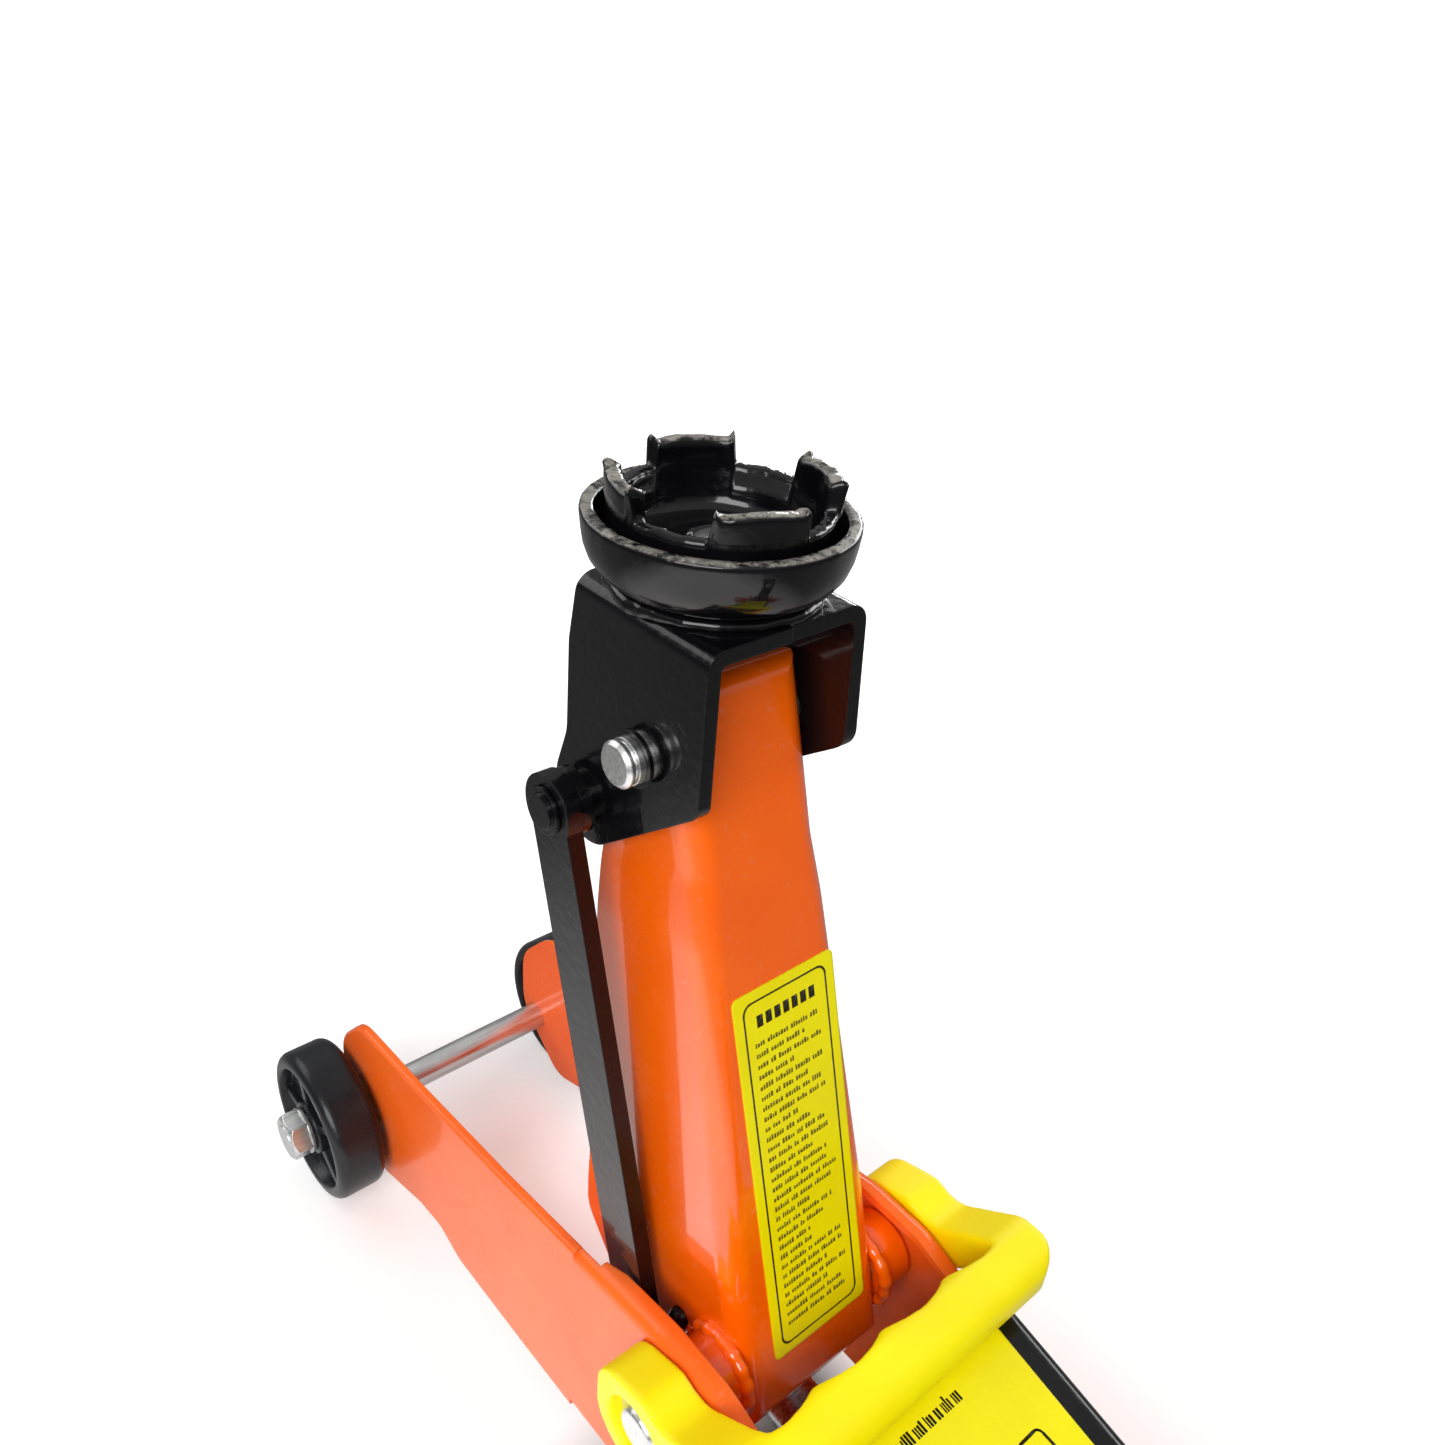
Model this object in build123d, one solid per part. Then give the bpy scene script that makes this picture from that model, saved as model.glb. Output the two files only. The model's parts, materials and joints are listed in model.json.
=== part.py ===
from build123d import *
from math import cos, radians, sin
import os

# A hydraulic trolley jack with its lift arm raised. All sizes are in millimetres.
# While building, x runs forward from the arm pivot, y to the left and z up from the floor.
# export_all shifts x, so that the written parts have their origin under the middle of the jack.

# ---------------------------------------------------------------- driving sizes
PIVOT_Z = 95.5            # height of the arm pivot
ARM_LENGTH = 187.6        # arm pivot to saddle pin
RAISED_ANGLE = 73.1       # arm above level when raised
ARM_TRAVEL = 78.5         # degrees from raised to lowered
LINK_DX = 23.5            # link pivots, forward of the arm pivots
LINK_DZ = -25.2           # and below them
RUN = 0.06                # radial clearance of a pin that turns in its hole
GAP = 0.3                 # clearance between moving faces

AXLE_X = 203.0
WHEEL_R = 31.2
AXLE_R = 5.75
WHEEL_Y = (47.5, 67.0)    # inner and outer face of a front wheel

PLATE_OUT = 44.7          # outer face of a side plate, front part
PLATE_T = 3.2
PLATE_JOG = 4.0           # the rear part is set in by this much
JOG_X = (-40.0, -62.0)
FLANGE = 7.0              # width of the rolled top edge
FLANGE_X = 50.0           # where the rolled edge begins, behind a plain sheet edge
PLATE_IN = PLATE_OUT - PLATE_T
REAR_IN = PLATE_IN - PLATE_JOG
REAR_OUT = PLATE_OUT - PLATE_JOG
TIE_X, TIE_Z, TIE_R = -66.0, 93.5, 5.0

COVER_X = (-138.0, -38.0)
COVER_Z = 110.0           # top of the cover at its front edge
COVER_TILT = 4.86         # degrees down to the rear
COVER_T = 2.0
COVER_SKIRT = 10.0
COVER_ROUND = 5.0         # radius along the two long edges
COVER_FRONT, COVER_REAR = 47.6, 43.4
COVER_TAPER = (-8.0, -50.0)      # where its sides draw in, behind its front edge
COVER_SCREWS = [(-90.0, 37.0), (-58.0, 37.0)]
COVER_SCREW_R = 2.0
SCREW_END = -7.0          # depth of the cover screws below the cover's top
LABEL_T = 0.3

SHAFT_R = 7.0
WEB_N = 10.8              # arm web, outer face above the line of pivots
ARM_BEND = 7.0            # outer radius of the arm's two long bends
ARM_T = 3.4
ARM_TIP_S = 204.0
ARM_WIDTHS = [(-16.0, 28.0, 0), (34.0, 27.6, 60), (80.0, 25.3, 120), (136.0, 22.7, 80),
              (154.0, 20.9, 40)]  # along the arm, half width, radius of the change
CRANK_R = 42.0
CRANK_PIN_R = 6.0
CRANK_PIN_HALF = 29.2

BRACKET_OUT = 25.3
BRACKET_T = 4.0
BRACKET_TOP = 37.2        # above the saddle pin
BRACKET_IN = BRACKET_OUT - BRACKET_T
PIN_R = 6.2
PIN_HALF = 33.6
PIN_GROOVES, RING_T = (27.2, 30.4), 1.2
SADDLE_DX = 6.5           # saddle axis, forward of the saddle pin
BOWL_R = 33.7
BOWL_H = 19.4
FOOT_R, FOOT_T = 21.0, 1.6       # round foot that lifts the bowl off the bracket
CROWN_R = 27.6
CROWN_WALL = 4.0
TAB_SLOPE = 0.46          # tangent of half a tab's angle
TAB_START = 68.0          # azimuth of the first tab's middle
RIVET_R = 4.1

LINK_Y = (32.0, 37.0)
LINK_HALF = 8.2
LINK_EYE = 10.0
LINK_PIN_R = 5.0

RAM_Z = 58.0
RAM_R = 9.0
STROKE_SHARE = 0.942      # ram travel over crank radius times angle
SLOT_PLAY = 0.9           # each side of the crank pin in the ram head
SLOT_CORNER = 6.8
HEAD_HALF_Y, HEAD_Z = 18.0, (41.0, 75.0)
SPRING_Z, SPRING_R = 23.0, 5.1
SPRING_WALL = 1.8
BLOCK_X = (-188.0, -146.0)
SPRING_REAR = BLOCK_X[1] + 2.4   # where the ram spring is hooked to the block
BLOCK_Z = (30.0, 74.0)
BLOCK_BOLTS = [(-178.0, 45.0), (-156.0, 45.0)]
BOLT_R, BOLT_DEPTH = 4.0, 12.0
CYL_FRONT = -45.0
NUT_X = (CYL_FRONT, CYL_FRONT - 10)
RES_R, RES_T = 28.0, 2.5
TUBE_R, BORE_R = 20.0, 15.0
SEAL_R = BORE_R - 2.6
FILLER_X, FILLER_R = -100.0, 4.5
RELEASE_Y, RELEASE_Z, RELEASE_R = -17.0, 46.0, 6.0
RELEASE_BORE_END = -170.0
OVERLOAD_R = 5.0

SOCKET_X, SOCKET_Z = -160.0, 98.0
HANDLE_REST = 62.0        # socket above level at rest
HANDLE_STROKE = 50.0
CAM_R = 16.0
ROLLER_R = 5.0
SOCKET_BORE = 13.5
SOCKET_R = 17.0
SOCKET_V = 26.0           # bore axis above the socket pivot
SOCKET_TUBE = (-92.0, -2.0)
SOCKET_PIN_R = 6.0
CHEEK_Y = (11.2, 16.0)
SCREW_AT, SCREW_R = 18.5, 4.0    # thumb screw, from the socket's mouth
ROLLER_PIN_R = 3.0
PLUNGER_R = 5.0
GLAND_T = 2.6             # pump gland's height over the valve block
HEAD_T = 4.0              # plunger's head

CASTER_X, CASTER_Y = -162.0, 78.0
CASTER_R, CASTER_TRAIL, CASTER_HALF = 20.0, 12.0, 8.0
CASTER_AXLE_R, KINGPIN_R = 3.0, 5.0

BAR_X = (-49.5, -31.0)    # cross bar of the carry handle
BAR_Z = (114.0, 130.0)
BAR_END = 58.5
BAR_CORNER = 11.0
EYE_Y = (PLATE_OUT + GAP, 59.5)
EYE_RECESS_R = 11.0
HANDLE_BOLT_R = 6.0
SCALLOP_R, SCALLOP_DEPTH, SCALLOP_PITCH = 25.0, 3.7, 26.0
SCALLOP_SPAN = 44.5       # half the length of bar that has scallops

RELEASE_END = -201.0      # rearmost point of the jack
FRONT_END = AXLE_X + WHEEL_R
ORIGIN_X = (FRONT_END + RELEASE_END) / 2

# ---------------------------------------------------------------- worked-out places
HALF_SWING = radians(ARM_TRAVEL / 2)
PIN_X = ARM_LENGTH * cos(radians(RAISED_ANGLE))
PIN_Z = PIVOT_Z + ARM_LENGTH * sin(radians(RAISED_ANGLE))
CRANK_ANGLE = ARM_TRAVEL / 2 - 90 - RAISED_ANGLE
CRANK_S = CRANK_R * cos(radians(CRANK_ANGLE))
CRANK_N = CRANK_R * sin(radians(CRANK_ANGLE))
RAM_HALF_STROKE = STROKE_SHARE * CRANK_R * HALF_SWING
CAM_HALF = radians(HANDLE_STROKE / 2)
PLUNGER_X = SOCKET_X - CAM_R * (1 + cos(CAM_HALF)) / 2
ROLLER_Z = SOCKET_Z + CAM_R * sin(CAM_HALF)
CAM_ANGLE = radians(HANDLE_REST) - CAM_HALF
ROLLER_AT = (-CAM_R * cos(CAM_ANGLE), -CAM_R * sin(CAM_ANGLE))
PLUNGER_TOP = ROLLER_Z - ROLLER_R - 0.36
PARTS = {}


# ---------------------------------------------------------------- shape helpers
def outline(rows):
    """Closed face from rows of (u, v, corner radius)."""
    corners = [(u, v) for u, v, _ in rows]
    return make_face(FilletPolyline(*corners, radius=[r for _, _, r in rows], close=True))


def side_prism(rows, y_low, y_high):
    """Outline in x and z, between two values of y."""
    return extrude(Plane.XZ.offset(-y_high) * outline(rows), amount=y_high - y_low)


def top_prism(rows, z_low, z_high):
    """Outline in x and y, between two values of z."""
    return extrude(Plane.XY.offset(z_low) * outline(rows), amount=z_high - z_low)


def front_prism(rows, x_low, x_high):
    """Outline in y and z, between two values of x."""
    return extrude(Plane.YZ.offset(x_low) * outline(rows), amount=x_high - x_low)


def block(x, y, z):
    """Box between the low and high value of each axis."""
    size = [high - low for low, high in (x, y, z)]
    return Pos(sum(x) / 2, sum(y) / 2, sum(z) / 2) * Box(*size)


def rod_x(radius, x, y, z):
    """Rod along x, between the two values in x."""
    return Pos(sum(x) / 2, y, z) * Rot(0, 90, 0) * Cylinder(radius, x[1] - x[0])


def rod_y(radius, x, y, z):
    """Rod along y, between the two values in y."""
    return Pos(x, sum(y) / 2, z) * Rot(90, 0, 0) * Cylinder(radius, y[1] - y[0])


def rod_z(radius, x, y, z):
    """Rod along z, between the two values in z."""
    return Pos(x, y, sum(z) / 2) * Cylinder(radius, z[1] - z[0])


def turned(rows):
    """Solid of revolution about z from an outline of (radius, height, corner radius)."""
    return revolve(Plane.XZ * outline(rows), Axis.Z)


def hexagon(across_flats, height):
    """Hexagonal prism standing on z = 0."""
    return extrude(RegularPolygon(across_flats / 2, 6, major_radius=False), amount=height)


def tube_x(outer, inner, x, z):
    """Tube along x in the middle plane."""
    return rod_x(outer, x, 0, z) - rod_x(inner, (x[0] - 1, x[1] + 1), 0, z)


def ring_y(outer, inner, x, y, z):
    """Washer or tube along y."""
    return rod_y(outer, x, y, z) - rod_y(inner, x, (y[0] - 1, y[1] + 1), z)


def both_sides(*solids):
    """A group of solids and their mirror images across the jack."""
    return Compound(children=[*solids, *[mirror(solid, Plane.XZ) for solid in solids]])


def mirrored_span(side, near, far):
    """The low and high y of a span on the given side, -1 for right and 1 for left."""
    return sorted((side * near, side * far))


def to_left(y_face):
    """Place that turns local +z to +y, with z = 0 on the plane y = y_face."""
    return Pos(0, y_face, 0) * Rot(-90, 0, 0)


# ---------------------------------------------------------------- chassis
def plate_band(y_out, depth):
    """Upright band that follows the jogged line of a side plate."""
    y_in, far = y_out - depth, 240.0
    ease = 14.0
    rows = [(far, y_out, 0), (JOG_X[0], y_out, ease), (JOG_X[1], y_out - PLATE_JOG, ease),
            (-far, y_out - PLATE_JOG, 0), (-far, y_in - PLATE_JOG, 0),
            (JOG_X[1], y_in - PLATE_JOG, ease), (JOG_X[0], y_in, ease), (far, y_in, 0)]
    return top_prism(rows, 0, 130)


def side_plate():
    """Left side plate: pressed sheet with a rolled top edge, nose lobe and set-in rear."""
    far, tall = 240, 130
    shape = [(214, 30, 18), (214.5, 60, 22), (196, 81, 20), (150, 87, 90), (92, 97, 60),
             (34, 109, 40), (8, 114, 24), (-14, 114, 24), (-32, 107.6, 14), (-150, 97.6, 20),
             (-190, 88, 14), (-190, 28, 10), (-146, 27, 20), (-110, 27, 24), (32, 26, 60),
             (80, 21.8, 60), (123, 18.8, 14), (137, 23.5, 8), (152, 21, 14), (186, 8, 12)]
    pocket = [(far, 0, 0), (far, 150, 0), (FLANGE_X, 150, 0), (FLANGE_X - 10, 105.6, 0),
              (8, 110.8, 22), (-14, 110.8, 22), (-32, 104.4, 14), (-150, 94.4, 0), (-176, 91, 0),
              (-184, 130, 0), (-220, 130, 0), (-220, 0, 0)]
    flat = side_prism(shape, 0, 60)
    rolled = round_top(flat & plate_band(PLATE_OUT, FLANGE), REAR_OUT, 4.6)
    plain = round_top(flat & block((0, far), (PLATE_IN, PLATE_OUT), (0, tall)), PLATE_OUT, 1.4)
    front, ramp = FLANGE_X + 1, FLANGE_X - 18
    wedge = [(front, PLATE_IN, 0), (ramp, PLATE_OUT - FLANGE, 0), (ramp, 20, 0), (front, 20, 0)]
    rolled -= block((FLANGE_X, far), (0, 60), (0, tall)) + top_prism(wedge, 0, tall)
    body = rolled + (plain - block((-10, FLANGE_X), (0, 60), (0, tall)))
    body -= plate_band(PLATE_IN, 30) & side_prism(pocket, 0, 60)
    body -= rod_y(AXLE_R, AXLE_X, (30, 50), WHEEL_R)
    body -= rod_y(SHAFT_R, 0, (30, 50), PIVOT_Z)
    body -= rod_y(TIE_R, TIE_X, (30, 50), TIE_Z)
    for x, z in BLOCK_BOLTS:
        body -= rod_y(BOLT_R, x, (30, 50), z)
    for x, y in COVER_SCREWS:
        body -= cover_place() * rod_z(COVER_SCREW_R, x, y, (SCREW_END, 1))
    return body.solid()


def round_top(body, y_face, radius):
    """Rounds the upper edges of a length of side plate that lie on or outside y_face."""
    upper = [edge for edge in body.edges() if min(v.Z for v in edge.vertices()) > 50]
    outer = [edge for edge in upper if min(v.Y for v in edge.vertices()) > y_face - 0.1]
    return fillet(outer, radius)


def link_stud():
    """Stud on the left plate that carries the link's lower end, with its clip groove."""
    x, z = LINK_DX, PIVOT_Z + LINK_DZ
    stud = rod_y(LINK_PIN_R, x, (30.0, PLATE_IN), z)
    return stud + rod_y(8.6, x, (LINK_Y[1] + GAP, PLATE_IN), z)


def chassis():
    left = side_plate()
    PARTS["side_plate_left"] = left
    PARTS["side_plate_right"] = mirror(left, Plane.XZ)
    PARTS["link_stud"] = link_stud()
    PARTS["front_axle"] = rod_y(AXLE_R, AXLE_X, (-76, 76), WHEEL_R)
    PARTS["axle_washers"] = both_sides(
        ring_y(9.5, AXLE_R, AXLE_X, (PLATE_OUT, WHEEL_Y[0] - GAP), WHEEL_R),
        ring_y(9.5, AXLE_R, AXLE_X, (WHEEL_Y[1] + GAP, WHEEL_Y[1] + 1.6), WHEEL_R))
    PARTS["axle_nuts"] = both_sides(axle_nut())
    PARTS["tie_rod"] = tie_rod()
    PARTS["arm_shaft"] = arm_shaft()
    PARTS["handle_bolts"] = both_sides(handle_bolt())
    PARTS["block_bolts"] = both_sides(*[block_bolt(x, z) for x, z in BLOCK_BOLTS])


def tie_rod():
    """Spacer rod between the plates, with a shoulder against each."""
    ends = rod_y(TIE_R, TIE_X, (-REAR_OUT, REAR_OUT), TIE_Z)
    return ends + rod_y(TIE_R + 2, TIE_X, (-REAR_IN, REAR_IN), TIE_Z)


def axle_nut():
    """Left nut on the front axle, hexagonal with a bevelled outer face."""
    y, height = WHEEL_Y[1] + 1.6, 7
    bevel = turned([(0, 0, 0), (9.7, 0, 0), (9.7, 5.6, 0), (8.2, height, 0), (0, height, 0)])
    nut = Pos(AXLE_X, 0, WHEEL_R) * to_left(y) * (hexagon(17, height) & bevel)
    return nut - rod_y(AXLE_R, AXLE_X, (y - 1, y + height + 2), WHEEL_R)


def arm_shaft():
    """Pivot shaft through both side plates, drilled at each end for a handle bolt."""
    shaft = rod_y(SHAFT_R, 0, (-PLATE_OUT, PLATE_OUT), PIVOT_Z)
    for side in (-1, 1):
        ends = mirrored_span(side, PLATE_OUT - 16, PLATE_OUT + 1)
        shaft -= rod_y(BOLT_R, 0, ends, PIVOT_Z)
    return shaft


def handle_bolt():
    """Left shoulder bolt with a broad domed head, the carry handle's pivot."""
    rows = [(0, -14, 0), (BOLT_R, -14, 0), (BOLT_R, 0, 0), (HANDLE_BOLT_R, 0, 0),
            (HANDLE_BOLT_R, 9.6, 0), (10, 9.6, 0), (10, 11.2, 0.6), (7.6, 12.0, 0.6),
            (6.2, 14.2, 1.8), (0, 14.6, 0)]
    return Pos(0, 0, PIVOT_Z) * to_left(PLATE_OUT) * turned(rows)


def block_bolt(x, z):
    """Left hexagon bolt with a flange, through the plate into the valve block."""
    head = Pos(x, 0, z) * to_left(REAR_OUT) * (Cylinder(8.2, 3.2) + Pos(0, 0, 1) * hexagon(12, 6))
    head -= block((x - 20, x + 20), (0, REAR_OUT), (z - 20, z + 20))
    return head + rod_y(BOLT_R, x, (REAR_IN - BOLT_DEPTH, REAR_OUT + 1), z)


# ---------------------------------------------------------------- cover plate
def cover_place():
    """Place with z = 0 on the cover's top face and x = 0 at its front edge."""
    return Pos(COVER_X[1], 0, COVER_Z) * Rot(0, -COVER_TILT, 0)


def cover_rows(inset):
    """Outline of the cover from above, its sides set in by the given amount."""
    length = COVER_X[1] - COVER_X[0]
    front, rear = COVER_FRONT - inset, COVER_REAR - inset
    taper, end = COVER_TAPER
    return [(0, front, 0), (taper, front, 40), (end, rear, 40), (-length, rear, 0),
            (-length, -rear, 0), (end, -rear, 40), (taper, -front, 40), (0, -front, 0)]


def cover_plate():
    """Pressed cover over the power unit: flat top, rounded long edges and side skirts."""
    body = top_prism(cover_rows(0), -COVER_SKIRT, 0)
    top = [edge for edge in body.edges() if min(v.Z for v in edge.vertices()) > -0.1]
    body = fillet([edge for edge in top if abs(edge.center().Y) > 30], COVER_ROUND)
    length, half = COVER_X[1] - COVER_X[0], COVER_REAR - 4
    body -= top_prism(cover_rows(COVER_T), -COVER_SKIRT - 1, -COVER_T)
    body -= block((-length - 5, 5), (-half, half), (-COVER_SKIRT - 1, -COVER_T))
    for x, y in COVER_SCREWS:
        for side in (-1, 1):
            body -= rod_z(COVER_SCREW_R, x, side * y, (-5, 1))
    return (cover_place() * body).solid()


def cover_screw(x, y):
    """Domed screw through the cover into the top of a side plate."""
    head = turned([(0, 0, 0), (4.4, 0, 0), (4.0, 1.6, 0.9), (0, 2.2, 0)])
    return cover_place() * Pos(x, y, 0) * (head + rod_z(COVER_SCREW_R, 0, 0, (SCREW_END, 0.5)))


def cover_label():
    """Film on the cover's top, cut away round the screws."""
    side = [(-90, -33, 3), (-48, -33.4, 40), (-6, -37.6, 3)]
    label = top_prism(side + [(u, -v, r) for u, v, r in side[::-1]], 0.0, LABEL_T)
    for x, y in COVER_SCREWS:
        label -= rod_z(5.2, x, y, (-1, 1)) + rod_z(5.2, x, -y, (-1, 1))
    return cover_place() * label


def cover_parts():
    PARTS["cover_plate"] = cover_plate()
    PARTS["cover_label"] = cover_label()
    PARTS["cover_screws"] = both_sides(*[cover_screw(x, y) for x, y in COVER_SCREWS])


# ---------------------------------------------------------------- power unit
def valve_block():
    """Forged block behind the cylinder, with two ears for the handle socket's pin."""
    half, (rear, front), (low, high) = 34.0, BLOCK_X, BLOCK_Z
    body = top_prism([(rear, -half, 6), (front, -half, 3), (front, half, 3), (rear, half, 6)], *BLOCK_Z)
    body += block((rear, front - 8), (-REAR_IN, REAR_IN), (low - 3, low))
    for x, z in BLOCK_BOLTS:
        body += rod_y(9.0, x, (-REAR_IN, REAR_IN), z)
    ear = [(SOCKET_X - 13, high - 4, 0), (SOCKET_X + 13, high - 4, 0),
           (SOCKET_X + 11, SOCKET_Z + 10, 9), (SOCKET_X - 11, SOCKET_Z + 10, 9)]
    for side in (-1, 1):
        body += side_prism(ear, *mirrored_span(side, 19.0, 27.0))
    body -= rod_y(SOCKET_PIN_R, SOCKET_X, (-40, 40), SOCKET_Z)
    body -= rod_z(PLUNGER_R + RUN, PLUNGER_X, 0, (36, high + 1))
    body -= rod_x(RELEASE_R + RUN, (rear - 1, RELEASE_BORE_END), RELEASE_Y, RELEASE_Z)
    body -= rod_x(OVERLOAD_R, (rear - 1, rear + 12), -RELEASE_Y, RELEASE_Z)
    for x, z in BLOCK_BOLTS:
        for side in (-1, 1):
            body -= rod_y(BOLT_R, x, mirrored_span(side, REAR_IN - BOLT_DEPTH, 40), z)
    lug = block((front - 5, front + 5), (-5, 5), (18, 29)) + block((front - 5, front), (-5, 5), (18, 34))
    body += lug - rod_y(1.6, SPRING_REAR, (-9, 9), SPRING_Z)
    return body.solid()


def power_unit():
    length = (BLOCK_X[1], NUT_X[1])
    PARTS["valve_block"] = valve_block()
    reservoir = tube_x(RES_R, RES_R - RES_T, length, RAM_Z)
    PARTS["reservoir_tube"] = reservoir - rod_z(FILLER_R, FILLER_X, 0, (RAM_Z, 100))
    PARTS["cylinder_tube"] = tube_x(TUBE_R, BORE_R, length, RAM_Z)
    PARTS["cylinder_nut"] = cylinder_nut()
    PARTS["filler_plug"] = filler_plug()
    PARTS["overload_plug"] = overload_plug()
    gland = hexagon(17, GLAND_T) - Cylinder(PLUNGER_R + RUN, 12)
    PARTS["pump_gland"] = Pos(PLUNGER_X, 0, BLOCK_Z[1]) * gland
    PARTS["socket_pin"] = socket_pin()


def filler_plug():
    """Rubber plug in the top of the reservoir."""
    rows = [(0, 22, 0), (FILLER_R, 22, 0), (FILLER_R, 28.05, 0), (7.5, 28.6, 0.4), (7.0, 31.5, 1.2),
            (0, 32, 0)]
    return Pos(FILLER_X, 0, RAM_Z) * turned(rows)


def cylinder_nut():
    """Round front nut of the cylinder with a bore for the ram and four spanner slots."""
    length = NUT_X[0] - NUT_X[1]
    bore, outer = RAM_R + RUN, RES_R + 1.5
    rows = [(bore, 0, 0), (outer, 0, 0), (outer, length - 2, 1.5), (RES_R - 2, length, 1.0),
            (bore, length, 0)]
    nut = Pos(NUT_X[1], 0, RAM_Z) * Rot(0, 90, 0) * turned(rows)
    slot = block((NUT_X[0] - 5, NUT_X[0] + 5), (-4, 4), (RES_R - 5, RES_R + 5))
    for turn in range(45, 405, 90):
        nut -= Pos(0, 0, RAM_Z) * Rot(turn, 0, 0) * slot
    return nut.solid()


def overload_plug():
    """Socket-head plug over the overload valve, in the block's rear face."""
    x, y, z = BLOCK_X[0], -RELEASE_Y, RELEASE_Z
    plug = rod_x(OVERLOAD_R, (x, x + 11), y, z) + rod_x(OVERLOAD_R + 3, (x - 3, x), y, z)
    return plug - Pos(x - 3.5, y, z) * Rot(0, 90, 0) * hexagon(6, 5)


def socket_pin():
    """Headed pin through the block's ears with a spring clip at its right end."""
    pin = rod_y(SOCKET_PIN_R, 0, (-31.5, 28.0), 0)
    pin += to_left(27.0) * turned([(0, 0, 0), (9.5, 0, 0), (9.5, 3, 1), (0, 3, 0)])
    pin -= rod_y(SOCKET_PIN_R + 1, 0, (-29.2, -28.0), 0) - rod_y(SOCKET_PIN_R - 1, 0, (-30, -27), 0)
    return Pos(SOCKET_X, 0, SOCKET_Z) * pin


# ---------------------------------------------------------------- ram
def ram_head(rear, front):
    """Block on the ram's end with a slot for the crank pin and a lug for the spring."""
    centre, half = RAM_HALF_STROKE, CRANK_PIN_R + SLOT_PLAY
    low = PIVOT_Z - CRANK_R - CRANK_PIN_R - 1.0
    high = PIVOT_Z - CRANK_R * cos(HALF_SWING) + CRANK_PIN_R + 1.2
    foot, top = HEAD_Z
    head = side_prism([(rear, foot, 5), (front, foot, 5), (front, top, 5), (rear, top, 5)],
                      -HEAD_HALF_Y, HEAD_HALF_Y)
    head -= side_prism([(centre - half, low, SLOT_CORNER), (centre + half, low, SLOT_CORNER),
                        (centre + half, high, SLOT_CORNER), (centre - half, high, SLOT_CORNER)], -30, 30)
    lug = side_prism([(rear + 2, foot + 3, 0), (rear + 12, foot + 3, 0), (rear + 12, SPRING_Z - 5, 4),
                      (rear + 2, SPRING_Z - 5, 4)], -3, 3)
    head += lug - rod_y(1.8, rear + 7, (-9, 9), SPRING_Z)
    return head.solid()


def ram_parts():
    rear = RAM_HALF_STROKE - 17.0
    front = RAM_HALF_STROKE + CRANK_PIN_R + SLOT_PLAY + 5.0
    PARTS["ram_head"] = ram_head(rear, front)
    piston_front = CYL_FRONT - 24.0
    groove = (piston_front - 11, piston_front - 6)
    PARTS["ram_rod"] = rod_x(RAM_R, (piston_front, rear), 0, RAM_Z)
    piston = rod_x(BORE_R - RUN, (piston_front - 17, piston_front), 0, RAM_Z)
    PARTS["piston"] = piston - (rod_x(BORE_R, groove, 0, RAM_Z) - rod_x(SEAL_R, groove, 0, RAM_Z))
    PARTS["piston_seal"] = tube_x(BORE_R - RUN, SEAL_R, groove, RAM_Z)
    PARTS["return_spring"] = coil_spring(SPRING_REAR, rear + 7)


def coil_spring(x_rear, x_front):
    """Tension spring along x below the ram: its coil's envelope and the two straight ends."""
    rear, front = x_rear + 9.0, x_front - 9.0
    body = rod_x(SPRING_R, (rear, front), 0, SPRING_Z)
    body -= rod_x(SPRING_R - SPRING_WALL, (rear + 1, front - 1), 0, SPRING_Z)
    for end in ((x_rear + 2.7, rear + 1), (front - 1, x_front - 5.1)):
        body += rod_x(SPRING_WALL / 2, end, 0, SPRING_Z)
    return body.solid()


# ---------------------------------------------------------------- lift arm
def arm_blank(inset):
    """Arm seen from above its web, set in by a wall thickness and rounded along both bends."""
    left = [(s, y - inset, r) for s, y, r in ARM_WIDTHS]
    left = [(-60, ARM_WIDTHS[0][1] - inset, 0), *left[1:], (ARM_TIP_S + 20, left[-1][1], 0)]
    right = [(s, -y, r) for s, y, r in left]
    top = WEB_N - inset
    body = top_prism(left + right[::-1], -120, top)
    bends = [e for e in body.edges() if abs(e.center().Z - top) < 0.1 and abs(e.center().Y) > 15]
    return fillet(bends, ARM_BEND - inset)


def arm_shell():
    """The arm's outer shape: the blank, cut to the outline of its side walls."""
    rows = [(-16, WEB_N, 5), (ARM_TIP_S, WEB_N, 5), (ARM_TIP_S - 1, -13, 12), (150, -32.5, 60),
            (44, -57, 26), (22, -63, 12), (3, -54, 14), (-22, -49, 14), (-38, -34, 12), (-30, -14, 14)]
    return arm_blank(0) & side_prism(rows, -40, 40)


def arm_hollow():
    """The open space inside the arm's channel."""
    tip = ARM_TIP_S - ARM_T
    rows = [(-60, WEB_N, 0), (tip, WEB_N, 6), (tip, -130, 0), (-60, -130, 0)]
    return arm_blank(ARM_T) & side_prism(rows, -40, 40)


def at_arm(solid):
    """Moves a solid from the arm's own level frame to the raised arm."""
    return Pos(0, 0, PIVOT_Z) * Rot(0, -RAISED_ANGLE, 0) * solid


def lift_arm():
    """Folded channel with holes for the shaft, the saddle pin and the crank pin."""
    body = arm_shell() - arm_hollow()
    body -= rod_y(SHAFT_R + GAP, 0, (-40, 40), 0)
    body -= rod_y(PIN_R + RUN, ARM_LENGTH, (-40, 40), 0)
    body -= rod_y(CRANK_PIN_R, CRANK_S, (-40, 40), CRANK_N)
    return body.solid()


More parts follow.
